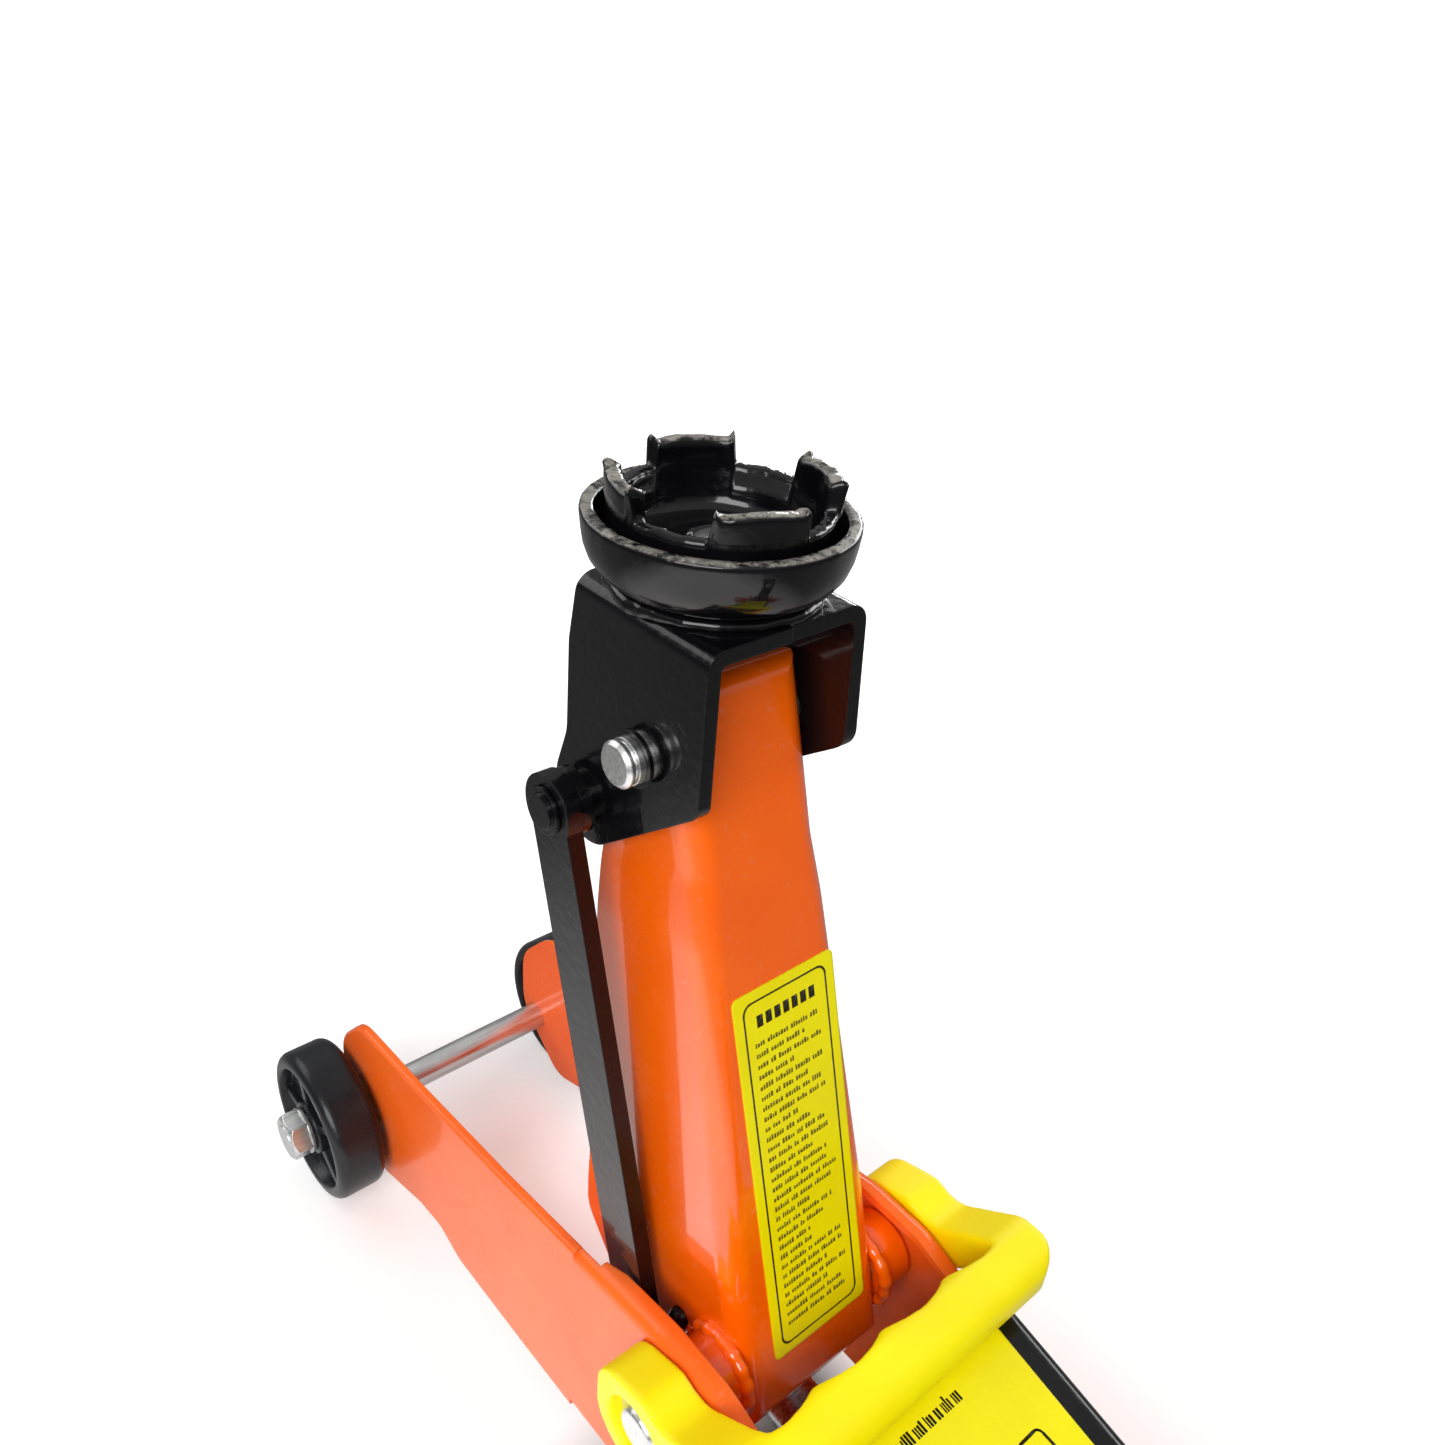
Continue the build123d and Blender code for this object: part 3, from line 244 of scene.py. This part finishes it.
def metal(name, light, dark, roughness=(0.18, 0.36)):
    """Bare or plated steel with fine turning marks and light stains."""
    s = Shade(name, metallic=1.0)
    streaks = s.noise(1.0, 4, 0.6, s.stretched(900, 60, 900))
    colour = s.mix(s.between(streaks, 0.3, 0.7), dark, light)
    colour = s.mix(s.between(s.noise(70, 5, 0.6), 0.55, 0.75, 0.0, 0.35), colour, dark)
    rough = s.between(streaks, 0.3, 0.7, *roughness)
    return s.finish(colour, rough, s.bump(streaks, 0.00002, s.round_edges(0.0005)))


def moulded(name, main, shade, roughness=(0.30, 0.42), texture=0.00005):
    """Moulded plastic, rubber or ink with a fine surface grain."""
    s = Shade(name, Specular_IOR_Level=0.35)
    colour = s.mix(s.between(s.noise(40, 4), 0.3, 0.7), main, shade)
    rough = s.between(s.noise(90, 4, 0.6), 0.3, 0.7, *roughness)
    return s.finish(colour, rough, s.bump(s.noise(900, 2, 0.5), texture, s.round_edges(0.0008)))


MATERIALS = {
    "frame_paint": gloss_paint("frame_paint", rgb(250, 108, 34), rgb(244, 98, 22), coat=0.25, sheen=0.15),
    "arm_paint": gloss_paint("arm_paint", rgb(255, 104, 0), rgb(248, 94, 0), wear=0.25),
    "black_paint": gloss_paint("black_paint", rgb(7, 7, 9), rgb(13, 12, 15), wear=0.0, peel=0.00022,
                               dirt=0.0, coat=0.5, sheen=0.12),
    "cast_black": cast_paint("cast_black"),
    "zinc": metal("zinc", rgb(240, 240, 238), rgb(200, 202, 202), (0.26, 0.42)),
    "ground_steel": metal("ground_steel", rgb(214, 216, 220), rgb(150, 152, 156)),
    "spring_steel": metal("spring_steel", rgb(120, 120, 124), rgb(60, 60, 64)),
    "wheel_grey": moulded("wheel_grey", rgb(20, 21, 24), rgb(30, 31, 34), (0.22, 0.34), 0.00008),
    "handle_yellow": moulded("handle_yellow", rgb(252, 240, 0), rgb(250, 228, 0), (0.34, 0.46), 0.00004),
    "label_yellow": moulded("label_yellow", rgb(246, 236, 4), rgb(240, 226, 2), (0.22, 0.34), 0.00002),
    "seal_rubber": moulded("seal_rubber", rgb(18, 18, 18), rgb(30, 30, 30), (0.5, 0.7)),
}
CROWN_BLACK = cast_paint("crown_black", CROWN_HIGH.z - 0.0035)
# The bowl's rim turns lighter grey on its upward faces: rubbed metal, and partly a painted highlight for
# the light its flat rim catches.
BOWL_BLACK = cast_paint("bowl_black", BOWL_HIGH.z - 0.0012)
INK = moulded("ink", rgb(34, 30, 6), rgb(52, 46, 8), texture=0.00001)
FINE_INK = moulded("fine_ink", rgb(120, 112, 6), rgb(150, 138, 8), texture=0.00001)


def paint_nodes():
    """Gives each CAD node the material of its slot in the record."""
    for part in frame["record"]["subparts"]:
        mesh = NODES[part["node"]].data
        mesh.materials.clear()
        mesh.materials.append(MATERIALS[part["material_slot"]])


# ---------------------------------------------------------------- mesh helpers
def show(name, mesh, body, material, slot_name, *nodes):
    """Puts a mesh in the scene: it rides on a body and may stand for CAD nodes."""
    mesh.materials.clear()
    mesh.materials.append(material)
    mesh.shade_smooth()
    piece = bpy.data.objects.new(name, mesh)
    bpy.context.scene.collection.objects.link(piece)
    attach(piece, body)
    if nodes:
        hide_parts(*nodes)
    return piece


def mesh_from(bm, name):
    """Ends a bmesh as a mesh whose faces look outward."""
    bmesh.ops.recalc_face_normals(bm, faces=bm.faces)
    mesh = bpy.data.meshes.new(name)
    bm.to_mesh(mesh)
    bm.free()
    return mesh


def skin(name, rings, capped=False):
    """Skin over closed rings of points; the last ring joins the first unless the ends are capped."""
    bm = bmesh.new()
    rows = [[bm.verts.new(point) for point in ring] for ring in rings]
    pairs = list(zip(rows, rows[1:])) + ([] if capped else [(rows[-1], rows[0])])
    for row, following in pairs:
        for i in range(len(row)):
            j = (i + 1) % len(row)
            bm.faces.new((row[i], row[j], following[j], following[i]))
    if capped:
        bm.faces.new(rows[0])
        bm.faces.new(rows[-1])
    return mesh_from(bm, name)


def lathe(name, section, place, steps):
    """Closed ring about local z; section(angle) gives (radius, height) points in millimetres."""
    rings = []
    for i in range(steps):
        angle = 2 * pi * i / steps
        rings.append([place @ (Vector((radius * cos(angle), radius * sin(angle), height)) * MM)
                      for radius, height in section(angle)])
    return skin(name, rings)


def full_turn(count):
    """Angles of a full turn in equal steps."""
    return [2 * pi * k / count for k in range(count)]


def wire(name, points, radius, sides):
    """Round wire along a list of points."""
    rings = []
    side = Vector((0.3, 1.0, 0.2)).normalized()
    for i, point in enumerate(points):
        along = (points[min(i + 1, len(points) - 1)] - points[max(i - 1, 0)]).normalized()
        side = (side - along * side.dot(along)).normalized()
        other = along.cross(side)
        rings.append([point + (side * cos(turn) + other * sin(turn)) * radius
                      for turn in full_turn(sides)])
    return skin(name, rings, capped=True)


def ripple(angle, radius, wavelength, seed):
    """Smooth noise of -1 to 1 around a circle; radius and wavelength in the same unit."""
    reach = radius / wavelength
    return noise.noise(Vector((cos(angle) * reach, sin(angle) * reach, seed * 7.31)))


def smooth_step(value):
    share = min(1.0, max(0.0, value))
    return share * share * (3 - 2 * share)


def remoulded(name, node, voxel, rounds):
    """Mesh of a CAD node, softened as a moulding is."""
    copy = bpy.data.objects.new(name, NODES[node].data.copy())
    bpy.context.scene.collection.objects.link(copy)
    remesh = copy.modifiers.new("remesh", "REMESH")
    remesh.mode = "VOXEL"
    remesh.voxel_size = voxel
    smooth = copy.modifiers.new("smooth", "SMOOTH")
    smooth.factor = 0.5
    smooth.iterations = rounds
    graph = bpy.context.evaluated_depsgraph_get()
    mesh = bpy.data.meshes.new_from_object(copy.evaluated_get(graph))
    bpy.data.objects.remove(copy)
    return mesh


# ---------------------------------------------------------------- saddle
def crown_section(angle):
    """Section of the cast crown: floor, raised middle, and a wall that rises into four tabs."""
    turn = angle * 180 / pi - TAB_FIRST + 45
    off, tab = turn % 90 - 45, int((turn % 360) // 90)
    rise = smooth_step((TAB_HALF + 1.0 - abs(off)) / 2.6)
    corner = 1 if off > 0 else -1
    nub = exp(-((abs(off) - TAB_HALF + 1.6) / 1.9) ** 2)
    nub *= 1 + 0.5 * noise.noise(Vector((tab * 3.1, corner * 1.7, 0.4)))
    rough = 0.35 * ripple(angle, 27, 5, 1) + 0.16 * ripple(angle, 27, 1.6, 2)
    crest = CROWN_TOP - NUB_SIZE - 0.1 - 0.9 * (off / TAB_HALF) ** 2
    top = CROWN_RIM + rise * (crest - CROWN_RIM) + nub * NUB_SIZE + rough
    top = min(top, CROWN_TOP - 0.05)
    full, foot = CROWN_RADIUS, CROWN_RADIUS - CROWN_WALL
    outer = full + 0.25 * ripple(angle, 27, 9, 3) + 0.7 * rise + 0.25 * nub - 0.3
    inner = foot + 0.2 * rise + 0.3 * ripple(angle, 23, 7, 4)
    low = CROWN_FLOOR
    base = low + 3.6 + 0.1 * ripple(angle, 20, 6, 5)
    outside = [(CROWN_BORE, low), (full - 3.2, low), (full - 1.4, low + 1.0), (full - 0.5, low + 3.2),
               (full - 0.3, low + 7), (outer - 0.3 * rise, CROWN_RIM - 2.6), (outer, top - 2.2)]
    crest_rows = [(outer + 0.5 * nub, top - 1.1), (outer + 0.3 * nub - 0.3, top - 0.35),
                  (outer - 0.9, top), (outer - 1.8, top - 0.25 * nub), (inner + 1.3, top - 0.9 * nub),
                  (inner + 0.5, top - 0.3 - nub), (inner + 0.1, top - 0.9 - nub)]
    inside = [(inner, top - 2.6), (inner - 0.2, CROWN_RIM - 2.2), (inner - 0.5, low + 8),
              (foot - 0.7, base + 2.2), (foot - 1.9, base + 0.6), (foot - 3.6, base)]
    middle = [(14.6, base), (13.6, base + 0.25), (13.0, base + 1.2), (12.3, base + 1.55),
              (8.4, base + 1.55), (7.4, base + 1.2), (7.0, base), (6.2, base - 0.2),
              (CROWN_BORE, base - 0.2)]
    return outside + crest_rows + inside + middle


def bowl_section(angle):
    """Section of the pressed bowl, with an uneven, roughly cut rim."""
    burr = 0.22 * ripple(angle, 33, 4, 6) + 0.12 * ripple(angle, 33, 1.5, 7)
    dent = 0.22 * ripple(angle, 33, 16, 8)
    radius, top = BOWL_RADIUS - 0.35, BOWL_TOP - 0.3
    rim_in = radius - 3.5 + 0.25 * ripple(angle, 30, 5, 9)
    outside = [(BOWL_BORE, 0), (BOWL_FOOT, 0), (21.4, 0.8), (23.4, 1.7), (26.6, 3.1), (29.4, 5.2),
               (31.4, 8.0), (32.5 + dent, 11.2), (33.0 + dent, 14.4)]
    rim = [(radius + burr * 0.6, top - 1.6), (radius + burr, top - 0.5),
           (radius - 0.35 + burr, top - 0.05), (radius - 1.1, top + 0.12 + burr * 0.5),
           (radius - 2.2, top + 0.05), (rim_in + 0.3, top), (rim_in, top - 0.5), (rim_in - 0.1, top - 3)]
    inside = [(29.5, 12), (28.4, 8.6), (26.0, 6.8), (22.0, BOWL_FLOOR), (BOWL_BORE, BOWL_FLOOR)]
    return outside + rim + inside


def fold_height(y):
    """Height of the bracket's top over its folded edges, below its flat middle."""
    past = min(max(abs(y) - (BRACKET_HALF - BRACKET_BEND), 0.0), BRACKET_BEND - 0.05)
    return -BRACKET_BEND + (BRACKET_BEND ** 2 - past ** 2) ** 0.5


def lap_wave(angle, radius, pitch):
    """Rise and fall of 0 to 1 along a weld bead, one lap to a pitch."""
    return abs(((angle * radius / pitch) % 2) - 1)


def weld_section(angle):
    """Section of the ragged weld bead between the bowl and the folded bracket."""
    lap = 0.25 * lap_wave(angle, 24, 2.9)
    lap += 0.9 * ripple(angle, 24, 7, 11) + 0.35 * ripple(angle, 24, 2.4, 12)
    middle = WELD_RADIUS + 1.1 * ripple(angle, 24, 9, 13)
    base = fold_height(middle * sin(angle))
    size = WELD_SIZE + lap
    height = (WELD_TOP + base) / 2
    tall = 0.35 * size + 0.42 * (WELD_TOP - base)
    return [(middle + 0.95 * size * cos(turn), height + tall * sin(turn)) for turn in full_turn(14)]


def saddle():
    place = Matrix.Translation(SADDLE_AXIS)
    show("saddle_crown_cast", lathe("crown", crown_section, place, 480), "saddle_crown", CROWN_BLACK,
         "cast_black", "saddle_crown")
    show("saddle_bowl_pressed", lathe("bowl", bowl_section, place, 288), "saddle_bracket", BOWL_BLACK,
         "cast_black", "saddle_bowl")
    show("saddle_weld_bead", lathe("weld", weld_section, place, 360), "saddle_bracket",
         MATERIALS["cast_black"], "cast_black", "saddle_weld")


# ---------------------------------------------------------------- weld beads on the arm
def boss_welds():
    """Weld bead round each pivot boss, where it meets the arm's wall."""
    low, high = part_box("arm_bosses")
    centre = Vector(((low.x + high.x) / 2, 0, (low.z + high.z) / 2))
    radius = (high.x - low.x) / 2 / MM

    def section(angle):
        size = 1.8 + 0.5 * lap_wave(angle, radius, 2.4) + 0.4 * ripple(angle, radius, 3, 21)
        return [(radius + 0.6 + size * cos(turn), 0.2 + size * sin(turn)) for turn in full_turn(10)]

    for name, sign in (("left", 1), ("right", -1)):
        shift = Matrix.Translation(centre + Vector((0, sign * ARM_WALL * MM, 0)))
        bead = lathe("boss_weld", section, shift @ Matrix.Rotation(-sign * pi / 2, 4, "X"), 144)
        show("boss_weld_" + name, bead, "lift_arm", MATERIALS["arm_paint"], "arm_paint")


# ---------------------------------------------------------------- carry handle
def handle():
    mesh = remoulded("carry_handle_moulded", "carry_handle", HANDLE_VOXEL, HANDLE_ROUNDS)
    show("carry_handle_moulded", mesh, "carry_handle", MATERIALS["handle_yellow"], "handle_yellow",
         "carry_handle")


def return_spring():
    """Tension spring along x with straight ends, built at one length; the real spring shortens as the ram
    goes back.
    """
    low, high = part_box("return_spring")
    coil = (high.z - low.z) / 2 - RETURN_WIRE
    middle = Vector((0, (low.y + high.y) / 2, (low.z + high.z) / 2))
    lead = RETURN_HOOK * 0.6
    steps = 18
    points = [Vector((low.x + RETURN_WIRE, 0, 0)) + middle, Vector((low.x + lead, 0, 0)) + middle]
    for i in range(RETURN_TURNS * steps + 1):
        share = i / (RETURN_TURNS * steps)
        angle = 2 * pi * i / steps
        grow = min(1.0, 12 * share, 12 * (1 - share)) * coil
        x = low.x + RETURN_HOOK + share * (high.x - low.x - 2 * RETURN_HOOK)
        points.append(Vector((x, grow * cos(angle), grow * sin(angle))) + middle)
    points += [Vector((high.x - lead, 0, 0)) + middle, Vector((high.x - RETURN_WIRE, 0, 0)) + middle]
    piece = show("return_spring_coil", wire("return_spring", points, RETURN_WIRE, 8), "chassis",
                 MATERIALS["spring_steel"], "spring_steel", "return_spring")
    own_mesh(piece)


def plunger_spring():
    """Compression spring along z with closed ends, built at one length; the real spring shortens as the
    plunger goes down.
    """
    low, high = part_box("plunger_spring")
    coil = (high.x - low.x) / 2 - PLUNGER_WIRE
    centre = (low + high) / 2
    steps = 24
    points = []
    for i in range(PLUNGER_TURNS * steps + 1):
        share = i / (PLUNGER_TURNS * steps)
        climb = smooth_step((share - 0.06) / 0.88) * 0.25 + share * 0.75
        angle = 2 * pi * i / steps
        z = low.z + PLUNGER_WIRE + climb * (high.z - low.z - 2 * PLUNGER_WIRE)
        points.append(Vector((centre.x + coil * cos(angle), centre.y + coil * sin(angle), z)))
    piece = show("plunger_spring_coil", wire("plunger_spring", points, PLUNGER_WIRE, 10), "chassis",
                 MATERIALS["spring_steel"], "spring_steel", "plunger_spring")
    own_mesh(piece)


# ---------------------------------------------------------------- printed labels
def print_mesh(name, boxes, place):
    """Raised ink: thin boxes from (u low, v low, u high, v high) in millimetres, on local z = 0."""
    bm = bmesh.new()
    for u_low, v_low, u_high, v_high in boxes:
        corners = [(u_low, v_low), (u_high, v_low), (u_high, v_high), (u_low, v_high)]
        bottom, top = [[bm.verts.new(place @ (Vector((u, v, level)) * MM)) for u, v in corners]
                       for level in (-INK_DEPTH, INK_DEPTH)]
        bm.faces.new(top)
        bm.faces.new(bottom[::-1])
        for i in range(4):
            j = (i + 1) % 4
            bm.faces.new((bottom[i], bottom[j], top[j], top[i]))
    return mesh_from(bm, name)


def border(u_low, v_low, u_high, v_high, corner, width):
    """Thin frame with round corners, each corner a run of small squares."""
    half, dot, steps = width / 2, 0.32, 9
    boxes = [(u_low + corner, v_low - half, u_high - corner, v_low + half),
             (u_low + corner, v_high - half, u_high - corner, v_high + half),
             (u_low - half, v_low + corner, u_low + half, v_high - corner),
             (u_high - half, v_low + corner, u_high + half, v_high - corner)]
    for u_mid, u_sign in ((u_low + corner, -1), (u_high - corner, 1)):
        for v_mid, v_sign in ((v_low + corner, -1), (v_high - corner, 1)):
            for step in range(steps):
                turn = pi / 2 * (step + 0.5) / steps
                u = u_mid + u_sign * corner * cos(turn)
                v = v_mid + v_sign * corner * sin(turn)
                boxes.append((u - dot, v - dot, u + dot, v + dot))
    return boxes


def glyph_row(draw, u, v_start, v_end, height):
    """One line of small dashes that stand for print, running from v_start down to v_end."""
    boxes = []
    v = v_start
    while v > v_end + 1.0:
        for _ in range(draw.randint(2, 8)):
            width = draw.uniform(0.45, 0.8)
            if v - width < v_end:
                break
            tall = height * draw.choice((0.7, 0.85, 1.0))
            boxes.append((u, v - width, u + tall, v))
            v -= width + 0.32
        v -= 0.8
    return boxes


def arm_place():
    """Frame of the arm's web: local x up the arm, local z out of the web's face."""
    pivot, pin = [Vector(JOINTS[name]["pos_m"]) for name in ("arm_lift", "bracket_level")]
    along = (pin - pivot).normalized()
    out = Vector((-along.z, 0, along.x))
    return Matrix.Translation(pivot) @ Matrix((along, out.cross(along), out)).transposed().to_4x4()


def arm_print():
    """Frame, heading blocks and lines of small print on the arm's label."""
    place = arm_place() @ Matrix.Translation((0, 0, WEB_FACE * MM))
    draw = Random(4)
    low_s, high_s, low_v, high_v = LABEL_BOX
    inset = LABEL_MARGIN
    boxes = border(low_s + inset, low_v + inset, high_s - inset, high_v - inset, LABEL_CORNER, 0.55)
    for i in range(7):
        v = high_v - 7.6 - i * 3.15
        boxes.append((high_s - 11.4, v - 2.1, high_s - 7.8, v))
    show("arm_label_ink", print_mesh("arm_label_ink", boxes, place), "lift_arm", INK, "label_yellow")
    rows = []
    u = high_s - 17.0
    while u > low_s + 8.0:
        end = low_v + 5.5 + draw.choice((0.5, 1.5, 3.0, 7.0, 12.0))
        rows += glyph_row(draw, u, high_v - 6.2, end, 1.6)
        u -= 3.3
    show("arm_label_fine_ink", print_mesh("arm_label_fine_ink", rows, place), "lift_arm", FINE_INK,
         "label_yellow")


def cover_print():
    """Heading, four empty frames and lines of print on the cover's label."""
    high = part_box("cover_label")[1]
    place = Matrix.Translation((high.x, 0, high.z)) @ Matrix.Rotation(-COVER_TILT, 4, "Y")
    draw = Random(9)
    boxes = glyph_row(draw, -9.5, 24.0, -14.0, 4.2)
    for v in (24.0, 11.0, -2.0, -15.0):
        boxes += border(-41.0, v - 9.5, -27.0, v, 1.8, 0.9)
    for u in (-52.0, -58.0, -64.0, -70.0):
        boxes += glyph_row(draw, u, 25.0, -25.0 + draw.choice((0.0, 6.0, 14.0)), 2.0)
    show("cover_label_ink", print_mesh("cover_label_ink", boxes, place), "chassis", INK, "label_yellow")


# ---------------------------------------------------------------- floor, light and camera
def for_camera(tree, seen, other):
    """Value that is seen by the camera as one thing, and lights the object as another."""
    light_path = tree.nodes.new("ShaderNodeLightPath")
    mix = tree.nodes.new("ShaderNodeMix")
    for socket, value in ((mix.inputs[2], other), (mix.inputs[3], seen)):
        if isinstance(value, bpy.types.NodeSocket):
            tree.links.new(value, socket)
        else:
            socket.default_value = value
    tree.links.new(light_path.outputs["Is Camera Ray"], mix.inputs[0])
    return mix.outputs[0]


def outside_painted_shadow(s):
    """1 on the open floor, falling to a painted shadow under the rear of the jack."""
    beside = s.between(s.math("ABSOLUTE", s.axis(s.place(), "Y")), *UNDER_Y)
    from_middle = s.math("ABSOLUTE", s.math("SUBTRACT", s.axis(s.place(), "X"), UNDER_MIDDLE))
    ahead = s.between(from_middle, *UNDER_X)
    return s.between(s.math("MAXIMUM", beside, ahead), 0.0, 1.0, UNDER_SHADE, 1.0)


def floor():
    """Pale floor with a painted shadow under the jack, and beside it a painted pool of light where the
    floor glows for the paint to reflect.
    """
    bpy.ops.mesh.primitive_plane_add(size=12, location=(0, 0, 0))
    plane = bpy.context.object
    plane.name = "floor"
    s = Shade("floor", Emission_Color=(1, 1, 1, 1))
    away = s.vector_math("DISTANCE", s.place(), (*POOL_CENTRE, 0))
    # Mask of the painted shadow under the jack; it darkens every floor colour and glow below.
    clear = outside_painted_shadow(s)
    # Painted pool of light: the floor glows beside the jack for the object's rays only.
    pool = s.math("MULTIPLY", s.between(away, *POOL_EDGE, POOL_GLOW, 0.0), clear)
    # Floor colour for the object's rays: paler in the painted pool of light.
    grey = s.math("MULTIPLY", s.between(away, *POOL_EDGE, 0.60, 0.16), clear)
    # What the camera sees: a pale floor and a glow that grows with distance, both darkened by the painted
    # shadow.
    pale = s.math("MULTIPLY", s.between(s.noise(3, 3), 0.3, 0.7, 0.90, 0.92), clear)
    glow = s.math("MULTIPLY", s.between(away, 0.6, 2.0, 0.24, 1.0), clear)
    s.finish(for_camera(s.tree, pale, grey), s.between(s.noise(9, 3), 0.3, 0.7, 0.72, 0.82))
    s.put(s.shader.inputs["Emission Strength"], for_camera(s.tree, glow, pool))
    plane.data.materials.append(s.material)


def soft_light(name, place, size, power):
    """Rectangular soft box that looks at the middle of the jack."""
    target = Vector((0.0, 0.0, 0.16))
    data = bpy.data.lights.new(name, "AREA")
    data.shape = "RECTANGLE"
    data.size, data.size_y = size
    data.energy = power
    light = bpy.data.objects.new(name, data)
    bpy.context.scene.collection.objects.link(light)
    light.location = place
    light.rotation_euler = (target - Vector(place)).to_track_quat("-Z", "Y").to_euler()


def world():
    """Sky that is white to the camera, and darker towards the horizon for the object."""
    made = bpy.data.worlds.new("studio")
    bpy.context.scene.world = made
    made.use_nodes = True
    tree = made.node_tree
    background = tree.nodes["Background"]
    background.inputs[0].default_value = (1.0, 1.0, 1.0, 1.0)
    direction = tree.nodes.new("ShaderNodeTexCoord")
    split = tree.nodes.new("ShaderNodeSeparateXYZ")
    height = tree.nodes.new("ShaderNodeMapRange")
    tree.links.new(direction.outputs["Generated"], split.inputs[0])
    tree.links.new(split.outputs["Z"], height.inputs[0])
    for socket, value in zip(list(height.inputs)[1:5], SKY_RAMP):
        socket.default_value = value
    tree.links.new(for_camera(tree, 1.0, height.outputs[0]), background.inputs[1])


def camera():
    """Camera behind, left of and above the jack, turned by yaw, pitch and roll."""
    place = Vector((-0.1566, 0.1816, 0.4361))
    yaw, pitch, roll = radians(-43.092), radians(-31.023), radians(5.335)
    forward = Vector((cos(pitch) * cos(yaw), cos(pitch) * sin(yaw), sin(pitch)))
    level = Vector((sin(yaw), -cos(yaw), 0))
    upright = level.cross(forward)
    right = cos(roll) * level + sin(roll) * upright
    up = cos(roll) * upright - sin(roll) * level
    data = bpy.data.cameras.new("camera")
    data.sensor_width = 36.0
    data.lens = 30.5
    data.clip_start = 0.01
    made = bpy.data.objects.new("camera", data)
    made.matrix_world = Matrix.Translation(place) @ Matrix((right, up, -forward)).transposed().to_4x4()
    bpy.context.scene.collection.objects.link(made)
    bpy.context.scene.camera = made


paint_nodes()
saddle()
boss_welds()
handle()
return_spring()
plunger_spring()
arm_print()
cover_print()

bpy.context.scene.view_settings.view_transform = "Standard"
floor()
world()
soft_light("key", (-0.75, 1.15, 1.15), (1.1, 0.9), 23)
soft_light("fill", (0.1, -1.4, 0.75), (1.3, 0.45), 10)
soft_light("rim", (0.84, -1.13, 0.54), (0.4, 0.16), 3)
soft_light("back", (1.3, 0.5, 0.9), (1.2, 0.8), 6)
camera()
